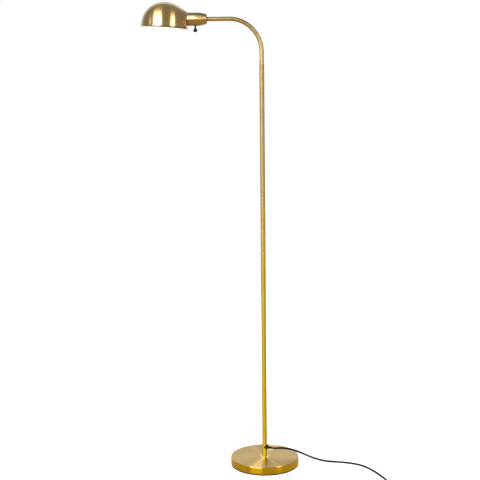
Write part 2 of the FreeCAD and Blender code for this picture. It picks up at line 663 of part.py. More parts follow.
def make_plug():
    turn = Rotation(Vector(0, 0, 1), value("plug_turn"))
    half = "plug_width / 2"
    shell = extruded("plug_shell", "XY_Plane", [
        ("plug_taper", "-(%s)" % half), ("plug_taper + plug_body", "-(%s)" % half),
        ("plug_taper + plug_body", half), ("plug_taper", half),
        ("plug_taper - plug_corner", "plug_neck"), ("plug_taper - plug_corner", "-plug_neck"),
    ], "-plug_height / 2", "plug_height")
    relief = turned("plug_relief", [
        ("0", "0"), ("plug_neck", "0"),
        ("plug_neck + relief_swell", "plug_taper + relief_lap"),
        ("0", "plug_taper + relief_lap"),
    ])
    place(relief, turn=Rotation(Vector(0, 1, 0), 90))
    joined = combine("Part::Fuse", "plug_joined", shell, relief)
    blades = []
    for count, side in enumerate(("", "-")):
        middle = side + "blade_gap / 2"
        blade = extruded("plug_blade_%d" % count, "XY_Plane", [
            ("plug_taper + plug_body", middle + " - blade_thick / 2"),
            ("plug_taper + plug_body + blade_length", middle + " - blade_thick / 2"),
            ("plug_taper + plug_body + blade_length", middle + " + blade_thick / 2"),
            ("plug_taper + plug_body", middle + " + blade_thick / 2"),
        ], "-blade_width / 2", "blade_width")
        blades.append(blade)
    keep("plug_body", place(joined, x="plug_x", y="plug_y", z="plug_z", turn=turn))
    both = group("plug_blades", blades)
    keep("plug_blades", place(both, x="plug_x", y="plug_y", z="plug_z", turn=turn))


def make_wires():
    """The supply wire inside the pole, the arm and the cup."""
    azimuth = math.radians(value("cord_azimuth"))
    reach = value("nose_end")
    height = value("cord_height")
    level = value("arm_height")
    gap = value("spigot_bottom - edging_flange")
    inner_end = value("stub_end")
    radius = value("wire_radius")
    start = (reach * math.sin(azimuth), -reach * math.cos(azimuth), height)
    keep("pole_wire", swept("pole_wire", [start, (0, 0, height), (0, 0, gap)], radius,
                            value("foot_bend")))
    keep("arm_wire", swept("arm_wire", [
        (0, 0, gap + value("wire_break")), (0, 0, level), (-inner_end, 0, level),
    ], radius, value("bend_radius")))
    far_end = inner_end + value("wire_break")
    seat = value("strap_end")
    side = value("terminal_offset - screw_head - wire_radius / 2")
    near = value("core_side")
    run = value("core_run")
    cores = []
    for count, sign in enumerate((1, -1)):
        cores.append(swept("head_core_%d" % count, [
            (-far_end, 0, level + near * sign), (-inner_end - run, 0, level + near * sign),
            (-seat + run, 0, level + side * sign), (-seat, 0, level + side * sign),
        ], radius / 2, value("core_bend")))
    keep("head_wires", group("head_wires", cores))


make_base()
make_pole()
make_arm()
make_cup()
make_strap()
make_lampholder()
make_bulb()
make_shade()
make_knob()
make_grommet()
make_cord()
make_plug()
make_wires()
doc.recompute()

faults = [item.Label for item in doc.Objects if {"Invalid", "Error"} & set(item.State)]
faults += [piece.Label for piece in nodes if piece.Shape.isNull() or not piece.Shape.isValid()]
if faults:
    raise RuntimeError("not built: " + ", ".join(faults))

os.makedirs("parts", exist_ok=True)
for piece in nodes:
    piece.Shape.exportStep("parts/%s.step" % piece.Label)
    print("%-22s %2d solids %12.1f mm3" % (piece.Label, len(piece.Shape.Solids), piece.Shape.Volume))
print(len(nodes), "nodes")
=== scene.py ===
import bmesh
import bpy
import json
import math
import numpy as np
from mathutils import Matrix, Vector


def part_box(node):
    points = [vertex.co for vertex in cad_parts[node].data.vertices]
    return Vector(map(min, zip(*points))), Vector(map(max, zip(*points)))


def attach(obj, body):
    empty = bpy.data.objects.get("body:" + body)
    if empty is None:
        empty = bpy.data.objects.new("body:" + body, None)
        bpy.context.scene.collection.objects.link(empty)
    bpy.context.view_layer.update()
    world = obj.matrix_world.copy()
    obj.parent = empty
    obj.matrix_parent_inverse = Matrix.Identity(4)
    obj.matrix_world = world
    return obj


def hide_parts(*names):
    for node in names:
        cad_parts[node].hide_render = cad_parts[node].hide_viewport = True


# A pharmacy floor lamp: round weighted base, thin brass pole, swivel arm, and a half-dome shade
# behind a bullet-shaped lampholder cup. Lengths in the dictionaries are millimetres.

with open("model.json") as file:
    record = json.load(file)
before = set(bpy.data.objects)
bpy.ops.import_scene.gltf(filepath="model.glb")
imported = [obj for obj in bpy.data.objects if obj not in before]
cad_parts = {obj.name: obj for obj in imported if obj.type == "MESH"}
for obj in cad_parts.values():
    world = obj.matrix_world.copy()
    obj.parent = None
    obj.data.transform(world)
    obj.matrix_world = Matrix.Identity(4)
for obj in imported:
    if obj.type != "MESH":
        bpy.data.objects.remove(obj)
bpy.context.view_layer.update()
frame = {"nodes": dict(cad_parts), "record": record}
mm = 0.001
wholeTurn = 2 * math.pi


cameraView = {
    "place": (0.0, -3.274, 1.228),   # metres
    "lens": 73.99, "sensor": 36.0,
    "turnLeft": 1.353, "tiltDown": 7.795, "roll": -0.63,   # degrees
}


def makeCamera():
    yaw, pitch, roll = [math.radians(cameraView[key]) for key in ("turnLeft", "tiltDown", "roll")]
    level = Vector((-math.sin(yaw), math.cos(yaw), 0))
    forward = level * math.cos(pitch) - Vector((0, 0, math.sin(pitch)))
    right = Vector((math.cos(yaw), math.sin(yaw), 0))
    up = right.cross(forward)
    rolledRight = right * math.cos(roll) + up * math.sin(roll)
    rolledUp = up * math.cos(roll) - right * math.sin(roll)
    turn = Matrix((rolledRight, rolledUp, -forward)).transposed().to_4x4()
    data = bpy.data.cameras.new("camera")
    data.sensor_width = cameraView["sensor"]
    data.lens = cameraView["lens"]
    camera = bpy.data.objects.new("camera", data)
    bpy.context.scene.collection.objects.link(camera)
    camera.matrix_world = Matrix.Translation(cameraView["place"]) @ turn
    bpy.context.scene.camera = camera


cordSizes = {
    "radius": 3.25, "length": 1.78,   # the length in metres
    "coilCentre": (369.5, -268.0), "lowLayer": 4.5, "highLayer": 11.1,
    "outerTurn": 42.5, "innerTurn": 26.0, "layerTurns": 2.5, "climbTurns": 0.25,
    "pointsPerTurn": 16,
}
floorLine = 3.4
cordRoute = [
    (16.45, -9.5, 60.5), (32.9, -19.0, 60.5), (58.0, -19.5, 62.5), (86.0, -14.5, 57.5),
    (113.0, -9.0, 46.5), (139.0, -5.0, 33.5), (164.0, -2.0, 21.5), (189.0, 1.0, 12.0),
    (216.0, 4.0, 5.6), (245.0, 4.5, floorLine), (273.0, -1.5, floorLine),
    (301.0, -11.0, floorLine), (328.0, -27.5, floorLine), (348.5, -52.0, floorLine),
    (365.0, -81.0, floorLine), (380.0, -114.0, floorLine), (393.0, -148.0, floorLine),
    (403.0, -182.0, floorLine), (410.0, -214.0, floorLine), (412.0, -243.0, 4.5),
]
plugRoute = [
    (352.0, -312.5, 10.6), (336.0, -316.0, 8.4), (319.0, -320.8, 7.5), (302.0, -322.0, 7.5),
]


# The put-away length: a low layer wound inwards, a short climb, a high layer outwards
def coilTurns():
    size = cordSizes
    turns = 2 * size["layerTurns"] + size["climbTurns"]
    count = round(turns * size["pointsPerTurn"])
    points = []
    for step in range(count + 1):
        done = turns * step / count
        inward = min(done, size["layerTurns"]) / size["layerTurns"]
        climb = min(max(done - size["layerTurns"], 0) / size["climbTurns"], 1)
        outwards = max(done - size["layerTurns"] - size["climbTurns"], 0) / size["layerTurns"]
        spread = size["outerTurn"] - size["innerTurn"]
        radius = size["outerTurn"] - spread * inward + spread * outwards
        height = size["lowLayer"] + (size["highLayer"] - size["lowLayer"]) * climb
        angle = -wholeTurn * done
        points.append((size["coilCentre"][0] + radius * math.cos(angle),
                       size["coilCentre"][1] + radius * math.sin(angle), height))
    return points


def makeCord(material):
    points = cordRoute + coilTurns() + plugRoute
    curve = bpy.data.curves.new("supply_cord", "CURVE")
    curve.dimensions = "3D"
    curve.bevel_depth = cordSizes["radius"] * mm
    curve.bevel_resolution = 5
    curve.resolution_u = 6
    curve.use_fill_caps = True
    spline = curve.splines.new("NURBS")
    spline.points.add(len(points) - 1)
    for point, place in zip(spline.points, points):
        point.co = (*[number * mm for number in place], 1)
    spline.order_u = 3
    spline.use_endpoint_u = True
    cord = bpy.data.objects.new("supply_cord", curve)
    bpy.context.scene.collection.objects.link(cord)
    curve.materials.append(material)
    return cord


# A node group with named sockets; returns the tree and its two end nodes
def newGroup(kind, name, inputs, outputs):
    tree = bpy.data.node_groups.new(name, kind + "NodeTree")
    for label, socketKind, start in inputs:
        socket = tree.interface.new_socket(label, in_out="INPUT", socket_type="NodeSocket" + socketKind)
        if start is not None:
            socket.default_value = start
    for label, socketKind in outputs:
        tree.interface.new_socket(label, in_out="OUTPUT", socket_type="NodeSocket" + socketKind)
    return tree, tree.nodes.new("NodeGroupInput"), tree.nodes.new("NodeGroupOutput")


def connect(tree, source, socket):
    if isinstance(source, bpy.types.NodeSocket):
        tree.links.new(source, socket)
    else:
        socket.default_value = source


# A node with its settings and inputs: a socket's name with _ for a space, or i and its number;
# an input is a number, a colour or an output socket
def addNode(tree, kind, settings=None, **inputs):
    node = tree.nodes.new(kind)
    for key, setting in (settings or {}).items():
        setattr(node, key, setting)
    for key, source in inputs.items():
        place = int(key[1:]) if key[1:].isdigit() else key.replace("_", " ")
        connect(tree, source, node.inputs[place])
    return node


def doMath(tree, operation, first, second=0.0):
    return addNode(tree, "ShaderNodeMath", {"operation": operation}, i0=first, i1=second).outputs[0]


def times(tree, first, second):
    return doMath(tree, "MULTIPLY", first, second)


def plus(tree, first, second):
    return doMath(tree, "ADD", first, second)


# A smooth step of a value between two places, remade to run from low to high
def ramp(tree, source, low, high, fromLow, fromHigh):
    return addNode(tree, "ShaderNodeMapRange", {"interpolation_type": "SMOOTHSTEP"}, Value=source,
                   From_Min=fromLow, From_Max=fromHigh, To_Min=low, To_Max=high).outputs["Result"]


def blendColours(tree, factor, first, second):
    node = addNode(tree, "ShaderNodeMix", {"data_type": "RGBA"}, i0=factor)
    for place, colour in ((6, first), (7, second)):
        full = (*colour[:3], 1) if isinstance(colour, tuple) else colour
        connect(tree, full, node.inputs[place])
    return node.outputs[2]


# Long fine scratches: noise squeezed across the grain and stretched along it
def makeBrushedGrain():
    tree, start, end = newGroup("Shader", "brushedGrain", [
        ("Vector", "Vector", None), ("Squeeze", "Vector", (1, 1, 1)),
        ("Scale", "Float", 1.0), ("Seed", "Float", 0.0),
    ], [("Height", "Float"), ("Tone", "Float")])
    squeezed = addNode(tree, "ShaderNodeVectorMath", {"operation": "MULTIPLY"},
                       i0=start.outputs["Vector"], i1=start.outputs["Squeeze"]).outputs[0]
    fine = addNode(tree, "ShaderNodeTexNoise", {"noise_dimensions": "4D"},
                   Vector=squeezed, W=start.outputs["Seed"], Scale=start.outputs["Scale"],
                   Detail=4.0, Roughness=0.65)
    wide = addNode(tree, "ShaderNodeTexNoise", {"noise_dimensions": "4D"}, Vector=squeezed,
                   W=start.outputs["Seed"], Scale=times(tree, start.outputs["Scale"], 0.17), Detail=2.0)
    both = plus(tree, times(tree, fine.outputs[0], 0.65), times(tree, wide.outputs[0], 0.35))
    tree.links.new(both, end.inputs["Height"])
    tree.links.new(ramp(tree, both, 0.0, 1.0, 0.32, 0.68), end.inputs["Tone"])
    return tree


# Slow clouding of a lacquered or moulded surface, and small specks in it
def makeLacquerClouds():
    tree, start, end = newGroup("Shader", "lacquerClouds", [
        ("Vector", "Vector", None), ("Scale", "Float", 14.0),
        ("Speck Scale", "Float", 420.0),
    ], [("Clouds", "Float"), ("Specks", "Float")])
    clouds = addNode(tree, "ShaderNodeTexNoise", Vector=start.outputs["Vector"],
                     Scale=start.outputs["Scale"], Detail=3.0, Distortion=0.4)
    cells = addNode(tree, "ShaderNodeTexVoronoi", {"feature": "F1"},
                    Vector=start.outputs["Vector"], Scale=start.outputs["Speck Scale"], Randomness=1.0)
    rare = addNode(tree, "ShaderNodeTexNoise", Vector=start.outputs["Vector"],
                   Scale=times(tree, start.outputs["Speck Scale"], 0.31), Detail=1.0)
    dots = times(tree, ramp(tree, cells.outputs["Distance"], 1.0, 0.0, 0.04, 0.16),
                 ramp(tree, rare.outputs[0], 0.0, 1.0, 0.62, 0.70))
    tree.links.new(ramp(tree, clouds.outputs[0], 0.0, 1.0, 0.3, 0.7), end.inputs["Clouds"])
    tree.links.new(dots, end.inputs["Specks"])
    return tree


# The faint pebbled skin of moulded plastic, rubber and cast iron
def makeMouldGrain():
    tree, start, end = newGroup("Shader", "mouldGrain", [
        ("Vector", "Vector", None), ("Scale", "Float", 900.0),
    ], [("Height", "Float"), ("Tone", "Float")])
    cells = addNode(tree, "ShaderNodeTexVoronoi", {"feature": "SMOOTH_F1"},
                    Vector=start.outputs["Vector"], Scale=start.outputs["Scale"], Smoothness=0.6)
    soft = addNode(tree, "ShaderNodeTexNoise", Vector=start.outputs["Vector"],
                   Scale=times(tree, start.outputs["Scale"], 0.11), Detail=3.0)
    both = plus(tree, times(tree, cells.outputs["Distance"], 0.6), times(tree, soft.outputs[0], 0.4))
    tree.links.new(both, end.inputs["Height"])
    tree.links.new(ramp(tree, soft.outputs[0], 0.0, 1.0, 0.3, 0.7), end.inputs["Tone"])
    return tree


# How far up the lamp a point is, from 0 at one height to 1 at another
def makeHeightFade():
    tree, start, end = newGroup("Shader", "heightFade", [
        ("Vector", "Vector", None), ("Low", "Float", 0.0),
        ("High", "Float", 1.0),
    ], [("Fade", "Float")])
    parts = addNode(tree, "ShaderNodeSeparateXYZ", Vector=start.outputs["Vector"])
    fade = ramp(tree, parts.outputs["Z"], 0.0, 1.0, start.outputs["Low"], start.outputs["High"])
    tree.links.new(fade, end.inputs["Fade"])
    return tree


brushedGrain = makeBrushedGrain()
lacquerClouds = makeLacquerClouds()
mouldGrain = makeMouldGrain()
heightFade = makeHeightFade()
print("shader groups made")


def placeGroup(tree, group, **inputs):
    return addNode(tree, "ShaderNodeGroup", {"node_tree": group}, **inputs)


# A material with one Principled BSDF, whose uniform numbers are set on its own sockets
def newMaterial(name, shader):
    material = bpy.data.materials.new(name)
    material.use_nodes = True
    tree = material.node_tree
    tree.nodes.clear()
    out = tree.nodes.new("ShaderNodeOutputMaterial")
    skin = tree.nodes.new("ShaderNodeBsdfPrincipled")
    for key, number in shader.items():
        skin.inputs[key].default_value = number
    tree.links.new(skin.outputs[0], out.inputs["Surface"])
    place = tree.nodes.new("ShaderNodeTexCoord").outputs["Object"]
    return material, tree, skin, place


def bumpFrom(tree, skin, height, distance, strength):
    node = addNode(tree, "ShaderNodeBump", Height=height, Distance=distance, Strength=strength)
    tree.links.new(node.outputs[0], skin.inputs["Normal"])


# A share of the grain's tone and a share of the clouds
def mottle(tree, grain, clouds, grainShare, cloudShare):
    return plus(tree, times(tree, grain.outputs["Tone"], grainShare),
                times(tree, clouds.outputs["Clouds"], cloudShare))


def speckled(tree, clouds, strength, colour, speck):
    return blendColours(tree, times(tree, clouds.outputs["Specks"], strength), colour, speck)


# Painted reflection on the pole and arm: the tone runs from a saturated gold at the foot, for the warm floor
# it mirrors, to a paler one at the top, between two heights in metres
paintedTubeReflection = {"low": 0.2, "high": 1.3, "foot": (0.55, 0.385, 0.008), "top": (0.45, 0.32, 0.135)}
scratchDepth = 0.00001
paintedLipReflection = {"low": -0.045, "high": -0.02}   # painted reflection on the flared lip; on the map, which runs below nought at the lip


# Sheet spun on a lathe: fine rings that stretch each highlight across them, under lacquer
def makeSpunBrass(name, finish):
    material, tree, skin, place = newMaterial(name, {
        "Metallic": 1.0, "Anisotropic": finish["stretch"], "Anisotropic Rotation": 0.25,
        "Coat Weight": finish["coat"], "Coat Roughness": 0.1, "Coat IOR": 1.85,
    })
    rings = addNode(tree, "ShaderNodeUVMap", {"uv_map": "spun"}).outputs[0]
    grain = placeGroup(tree, brushedGrain, Vector=rings, Squeeze=finish["squeeze"], Scale=1.0,
                       Seed=finish["seed"])
    clouds = placeGroup(tree, lacquerClouds, Vector=place, Scale=finish["clouds"], Speck_Scale=330.0)
    tone = mottle(tree, grain, clouds, 0.3, 0.25)
    colour = blendColours(tree, tone, finish["tone"], finish["deepTone"])
    if "skirt" in finish:   # a plainer wall below an edge, with a painted reflection: its deeper, more saturated gold stands in for the warm floor it mirrors
        edge = finish["edge"]
        top = placeGroup(tree, heightFade, Vector=place, Low=edge, High=edge + 1.0 * mm)
        skirt = blendColours(tree, tone, finish["skirt"], finish["skirtDeep"])
        colour = blendColours(tree, top.outputs["Fade"], skirt, colour)
    # painted reflection: the flared lip turns a darker orange-brown, as if it mirrored the warm floor below
    if "lip" in finish:
        parts = addNode(tree, "ShaderNodeSeparateXYZ", Vector=rings)
        rim = ramp(tree, parts.outputs["Y"], 1.0, 0.0, paintedLipReflection["low"], paintedLipReflection["high"])
        colour = blendColours(tree, rim, colour, finish["lip"])
    colour = speckled(tree, clouds, 0.35, colour, (0.30, 0.20, 0.08))
    tree.links.new(colour, skin.inputs["Base Color"])
    rough = plus(tree, ramp(tree, grain.outputs["Tone"], finish["rough"], finish["rough"] + 0.03, 0, 1),
                 times(tree, clouds.outputs["Clouds"], 0.02))
    if "skirt" in finish:
        rough = times(tree, rough, ramp(tree, top.outputs["Fade"], finish["skirtPolish"], 1.0, 0, 1))
    tree.links.new(rough, skin.inputs["Roughness"])
    along = addNode(tree, "ShaderNodeTangent", {"direction_type": "UV_MAP", "uv_map": "spun"})
    tree.links.new(along.outputs[0], skin.inputs["Tangent"])
    bumpFrom(tree, skin, grain.outputs["Height"], scratchDepth, 0.5)
    return material


# Satin brass whose scratches run the way that finish says, with a painted reflection that changes its tone
# with height
def makeTubeBrass(name, finish):
    material, tree, skin, place = newMaterial(name, {
        "Metallic": 1.0, "Coat Weight": finish["coat"], "Coat Roughness": 0.1,
    })
    grain = placeGroup(tree, brushedGrain, Vector=place, Squeeze=finish["squeeze"],
                       Scale=1.0, Seed=finish["seed"])
    clouds = placeGroup(tree, lacquerClouds, Vector=place, Scale=finish["clouds"], Speck_Scale=360.0)
    fade = placeGroup(tree, heightFade, Vector=place, Low=paintedTubeReflection["low"], High=paintedTubeReflection["high"])
    # painted reflection: warm saturated gold at the foot, paler towards the top
    colour = blendColours(tree, fade.outputs["Fade"], paintedTubeReflection["foot"], paintedTubeReflection["top"])
    colour = blendColours(tree, mottle(tree, grain, clouds, 0.14, 0.1), colour, (0.20, 0.12, 0.03))
    colour = speckled(tree, clouds, 0.3, colour, (0.24, 0.15, 0.05))
    tree.links.new(colour, skin.inputs["Base Color"])
    rough = plus(tree, mottle(tree, grain, clouds, 0.05, 0.04), finish["rough"])
    tree.links.new(rough, skin.inputs["Roughness"])
    bumpFrom(tree, skin, grain.outputs["Height"], scratchDepth, 0.45)
    return material


# Plastic, rubber, foam, iron, paint or enamel: a pebbled skin with slow clouding
def makeMoulded(name, finish):
    shader = {"Metallic": 0.0, "Specular IOR Level": finish.get("specular", 0.5)}
    shader.update(finish.get("shader", {}))
    material, tree, skin, place = newMaterial(name, shader)
    grain = placeGroup(tree, mouldGrain, Vector=place, Scale=finish["grain"])
    clouds = placeGroup(tree, lacquerClouds, Vector=place, Scale=25.0, Speck_Scale=480.0)
    tone = mottle(tree, grain, clouds, 0.5, 0.5)
    colour = blendColours(tree, tone, finish["tone"], finish["deepTone"])
    colour = speckled(tree, clouds, 0.4, colour, finish["dust"])
    tree.links.new(colour, skin.inputs["Base Color"])
    tree.links.new(ramp(tree, tone, finish["rough"], finish["rough"] + 0.12, 0.1, 0.9),
                   skin.inputs["Roughness"])
    bumpFrom(tree, skin, grain.outputs["Height"], finish["depth"], 0.6)
    return material


# Zinc-plated steel, turned brass or pressed aluminium with faint turning marks
def makePlainMetal(name, finish):
    material, tree, skin, place = newMaterial(name, {"Metallic": 1.0})
    grain = placeGroup(tree, brushedGrain, Vector=place, Squeeze=finish["squeeze"], Seed=2.0)
    clouds = placeGroup(tree, lacquerClouds, Vector=place, Scale=60.0, Speck_Scale=700.0)
    tone = mottle(tree, grain, clouds, 0.5, 0.5)
    colour = blendColours(tree, tone, finish["tone"], finish["deepTone"])
    tree.links.new(colour, skin.inputs["Base Color"])
    tree.links.new(ramp(tree, tone, finish["rough"], finish["rough"] + 0.14, 0, 1),
                   skin.inputs["Roughness"])
    bumpFrom(tree, skin, grain.outputs["Height"], 0.00003, 0.5)
    return material


def makeFrostedGlass():
    material, tree, skin, place = newMaterial("frostedGlass", {
        "Metallic": 0.0, "Transmission Weight": 0.55, "IOR": 1.45, "Specular IOR Level": 0.5,
    })
    grain = placeGroup(tree, mouldGrain, Vector=place, Scale=1600.0)
    colour = blendColours(tree, grain.outputs["Tone"], (0.93, 0.92, 0.90), (0.86, 0.85, 0.83))
    tree.links.new(colour, skin.inputs["Base Color"])
    tree.links.new(ramp(tree, grain.outputs["Tone"], 0.42, 0.55, 0, 1), skin.inputs["Roughness"])
    bumpFrom(tree, skin, grain.outputs["Height"], 0.00002, 0.5)
    return material


finishes = {
    "shadeBrass": makeSpunBrass("shadeBrass", {
        "tone": (0.74, 0.475, 0.142), "deepTone": (0.63, 0.39, 0.105), "rough": 0.22,
        "stretch": 0.7, "coat": 1.0, "squeeze": (3.0, 190.0, 1.0), "seed": 0.0, "clouds": 16.0,
        # painted reflection of the warm floor on the lip
        "lip": (0.52, 0.32, 0.13),
    }),
    "plateBrass": makeSpunBrass("plateBrass", {
        "tone": (0.93, 0.64, 0.21), "deepTone": (0.83, 0.555, 0.175),
        # painted reflection: the skirt colours give the base's side wall the warm floor's reflection
        "skirt": (0.68, 0.40, 0.004), "skirtDeep": (0.50, 0.28, 0.001),
        "edge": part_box("base_cover")[1].z - 1.5 * mm, "skirtPolish": 0.5, "rough": 0.28,
        "stretch": 1.0, "coat": 0.2, "squeeze": (3.0, 120.0, 1.0), "seed": 4.0, "clouds": 11.0,
    }),
    # painted shade: the cup's brass is a darker, more ochre copy of the other brass, for the dimmer
    # surroundings it mirrors
    "shadedCupBrass": makeSpunBrass("shadedCupBrass", {
        "tone": (0.47, 0.32, 0.12), "deepTone": (0.40, 0.265, 0.088), "rough": 0.34,
        "stretch": 0.9, "coat": 0.6, "squeeze": (3.0, 90.0, 1.0), "seed": 6.0, "clouds": 22.0,
    }),
    "ringBrass": makeSpunBrass("ringBrass", {
        "tone": (0.95, 0.80, 0.30), "deepTone": (0.88, 0.70, 0.22), "rough": 0.18,
        "stretch": 0.5, "coat": 0.5, "squeeze": (3.0, 160.0, 1.0), "seed": 3.0, "clouds": 40.0,
    }),
    "poleBrass": makeTubeBrass("poleBrass", {
        "squeeze": (900.0, 900.0, 9.0), "clouds": 9.0, "seed": 1.0,
        "rough": 0.55, "coat": 0.15,
    }),
    "armBrass": makeTubeBrass("armBrass", {
        "squeeze": (9.0, 900.0, 900.0), "clouds": 9.0, "seed": 5.0,
        "rough": 0.3, "coat": 0.15,
    }),
    "satin_brass": makeTubeBrass("satinBrass", {
        "squeeze": (60.0, 60.0, 2400.0), "clouds": 30.0, "seed": 7.0,
        "rough": 0.22, "coat": 0.12,
    }),
    "yellow_brass": makePlainMetal("turnedBrass", {
        "tone": (0.83, 0.62, 0.24), "deepTone": (0.66, 0.45, 0.13), "rough": 0.22,
        "squeeze": (1400.0, 40.0, 40.0),
    }),
    "zinc_steel": makePlainMetal("zincSteel", {
        "tone": (0.72, 0.73, 0.76), "deepTone": (0.52, 0.54, 0.55), "rough": 0.24,
        "squeeze": (50.0, 50.0, 1800.0),
    }),
    "lamp_aluminium": makePlainMetal("lampAluminium", {
        "tone": (0.86, 0.86, 0.87), "deepTone": (0.68, 0.68, 0.70), "rough": 0.2,
        "squeeze": (1900.0, 60.0, 60.0),
    }),
    "grey_iron": makeMoulded("greyIron", {
        "tone": (0.13, 0.13, 0.135), "deepTone": (0.06, 0.058, 0.055), "dust": (0.25, 0.16, 0.09),
        "rough": 0.6, "grain": 420.0, "depth": 0.0005,
    }),
    "black_foam": makeMoulded("blackFoam", {
        "tone": (0.010, 0.009, 0.009), "deepTone": (0.005, 0.004, 0.004), "specular": 0.05,
        "dust": (0.02, 0.02, 0.02), "rough": 0.8, "grain": 800.0, "depth": 0.0003,
    }),
    "white_nylon": makeMoulded("whiteNylon", {
        "tone": (0.80, 0.79, 0.75), "deepTone": (0.70, 0.68, 0.63), "dust": (0.5, 0.48, 0.44),
        "rough": 0.38, "grain": 1300.0, "depth": 0.00008,
    }),
    "black_plastic": makeMoulded("blackPlastic", {
        "tone": (0.010, 0.010, 0.011), "deepTone": (0.005, 0.005, 0.0055), "specular": 0.16,
        "dust": (0.02, 0.02, 0.02), "rough": 0.32, "grain": 1500.0, "depth": 0.00004,
    }),
    "black_cord": makeMoulded("blackCord", {
        "tone": (0.009, 0.009, 0.010), "deepTone": (0.004, 0.004, 0.0045), "specular": 0.07,
        "dust": (0.02, 0.02, 0.02), "rough": 0.42, "grain": 900.0, "depth": 0.00006,
    }),
    "wire_jacket": makeMoulded("wireJacket", {
        "tone": (0.03, 0.03, 0.03), "deepTone": (0.015, 0.015, 0.015), "dust": (0.1, 0.1, 0.1),
        "rough": 0.4, "grain": 900.0, "depth": 0.00008,
    }),
    "dark_phenolic": makeMoulded("darkPhenolic", {
        "tone": (0.035, 0.026, 0.020), "deepTone": (0.016, 0.011, 0.008),
        "dust": (0.10, 0.09, 0.07), "rough": 0.28, "grain": 1100.0, "depth": 0.00008,
    }),
    "white_enamel": makeMoulded("whiteEnamel", {
        # painted light: the enamel glows a little, so the shade's inside looks lit though no bulb is on
        "shader": {"Emission Color": (1, 1, 1, 1), "Emission Strength": 0.22},
        "tone": (0.88, 0.875, 0.86), "deepTone": (0.82, 0.81, 0.79), "dust": (0.55, 0.53, 0.5),
        "rough": 0.34, "grain": 520.0, "depth": 0.00012,
    }),
    "frosted_glass": makeFrostedGlass(),
}
print("materials made:", len(finishes))


def newPiece(name, points, faces, material, smooth=True):
    mesh = bpy.data.meshes.new(name)
    mesh.from_pydata([tuple(point) for point in points], [], faces)
    mesh.materials.append(material)
    piece = bpy.data.objects.new(name, mesh)
    bpy.context.scene.collection.objects.link(piece)
    for face in mesh.polygons:
        face.use_smooth = smooth
    mesh.update()
    return piece


# Outline points (radius, height) with each corner rounded by its third number
def roundedProfile(corners, steps=5):
    line = []
    for index, corner in enumerate(corners):
        place = Vector(corner[:2])
        size = corner[2] if len(corner) > 2 else 0
        if size == 0 or index in (0, len(corners) - 1):
            line.append(place)
            continue
        before = (Vector(corners[index - 1][:2]) - place).normalized()
        after = (Vector(corners[index + 1][:2]) - place).normalized()
        half = before.angle(after) / 2
        reach = size / math.tan(half)
        middle = place + (before + after).normalized() * size / math.sin(half)
        first = place + before * reach - middle
        last = place + after * reach - middle
        sweep = first.angle_signed(last)
        for step in range(steps + 1):
            line.append(middle + Matrix.Rotation(-sweep * step / steps, 2) @ first)
    return line


# A profile (radius, height), in millimetres, turned round an axis; ends on it are closed
def turnedPiece(name, profile, material, place, axis=Vector((0, 0, 1)), count=64):
    base = axis.to_track_quat("Z", "Y").to_matrix()
    points, rings = [], []
    for radius, height in profile:
        if radius < 1e-6:
            rings.append([len(points)])
            points.append(place + base @ Vector((0, 0, height)) * mm)
            continue
        rings.append(list(range(len(points), len(points) + count)))
        for step in range(count):
            angle = wholeTurn * step / count
            spot = Vector((radius * math.cos(angle), radius * math.sin(angle), height))
            points.append(place + base @ spot * mm)
    faces = []
    for low, high in zip(rings, rings[1:]):
        for step in range(count):
            after = (step + 1) % count
            if len(low) == 1:
                faces.append((low[0], high[after], high[step]))
            elif len(high) == 1:
                faces.append((low[step], low[after], high[0]))
            else:
                faces.append((low[step], low[after], high[after], high[step]))
    piece = newPiece(name, points, faces, material)
    facesOutward(piece)
    wrapMap(piece, place, base)
    return piece


mapScale = 8   # turns of the map for each metre along or across the axis


# A map that runs round the axis one way, and along or across it the other
def wrapMap(piece, place, base):
    layer = piece.data.uv_layers.new(name="spun")
    local = [base.transposed() @ (vertex.co - place) for vertex in piece.data.vertices]
    for face in piece.data.polygons:
        turns = [math.atan2(local[index].y, local[index].x) / wholeTurn for index in face.vertices]
        sized = [turn for turn, index in zip(turns, face.vertices) if local[index].xy.length > 1e-6]
        start = sized[0] if sized else 0.0
        for loop, index, turn in zip(face.loop_indices, face.vertices, turns):
            spot = local[index]
            around = start if spot.xy.length <= 1e-6 else start + (turn - start + 0.5) % 1 - 0.5
            layer.data[loop].uv = (around, (spot.xy.length - spot.z) * mapScale)


# Four-sided faces between rows of points, each row a closed loop
def loopFaces(rows, count, first=0):
    return [(first + row * count + step, first + row * count + (step + 1) % count,
             first + (row + 1) * count + (step + 1) % count, first + (row + 1) * count + step)
            for row in range(rows - 1) for step in range(count)]


# Merges doubles and points every face outwards
def facesOutward(piece):
    work = bmesh.new()
    work.from_mesh(piece.data)
    bmesh.ops.remove_doubles(work, verts=work.verts, dist=1e-7)
    bmesh.ops.recalc_face_normals(work, faces=work.faces)
    work.to_mesh(piece.data)
    work.free()


# Marks the edges that turn more than this as sharp, so that the rest shades smoothly
def creaseSharp(piece, degrees=35.0):
    piece.data.set_sharp_from_angle(angle=math.radians(degrees))


# The piece with its modifiers worked into a plain mesh, and none left on it
def applied(piece):
    bpy.context.view_layer.update()
    shaped = piece.evaluated_get(bpy.context.evaluated_depsgraph_get())
    mesh = bpy.data.meshes.new_from_object(shaped)
    piece.modifiers.clear()
    piece.data = mesh
    return piece


# A round hole through the piece, between two distances along an axis
def drilled(piece, radius, start, end, place, axis, count):
    profile = [(0, start), (radius, start), (radius, end), (0, end)]
    drill = turnedPiece("drill", profile, piece.data.materials[0], place, axis, count)
    cut = piece.modifiers.new("hole", "BOOLEAN")
    cut.operation = "DIFFERENCE"
    cut.object = drill
    cut.solver = "EXACT"
    applied(piece)
    bpy.data.objects.remove(drill)


# Hands a piece over: attaches it to its body and hides the nodes it stands for; its material slot is not
# used
def finished(piece, body, slot, *nodes):
    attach(piece, body)
    if nodes:
        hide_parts(*nodes)
    return piece


def geometryTree(name, inputs):
    whole = ("Geometry", "Geometry")
    return newGroup("Geometry", name, [(*entry, None) for entry in [whole] + inputs], [whole])


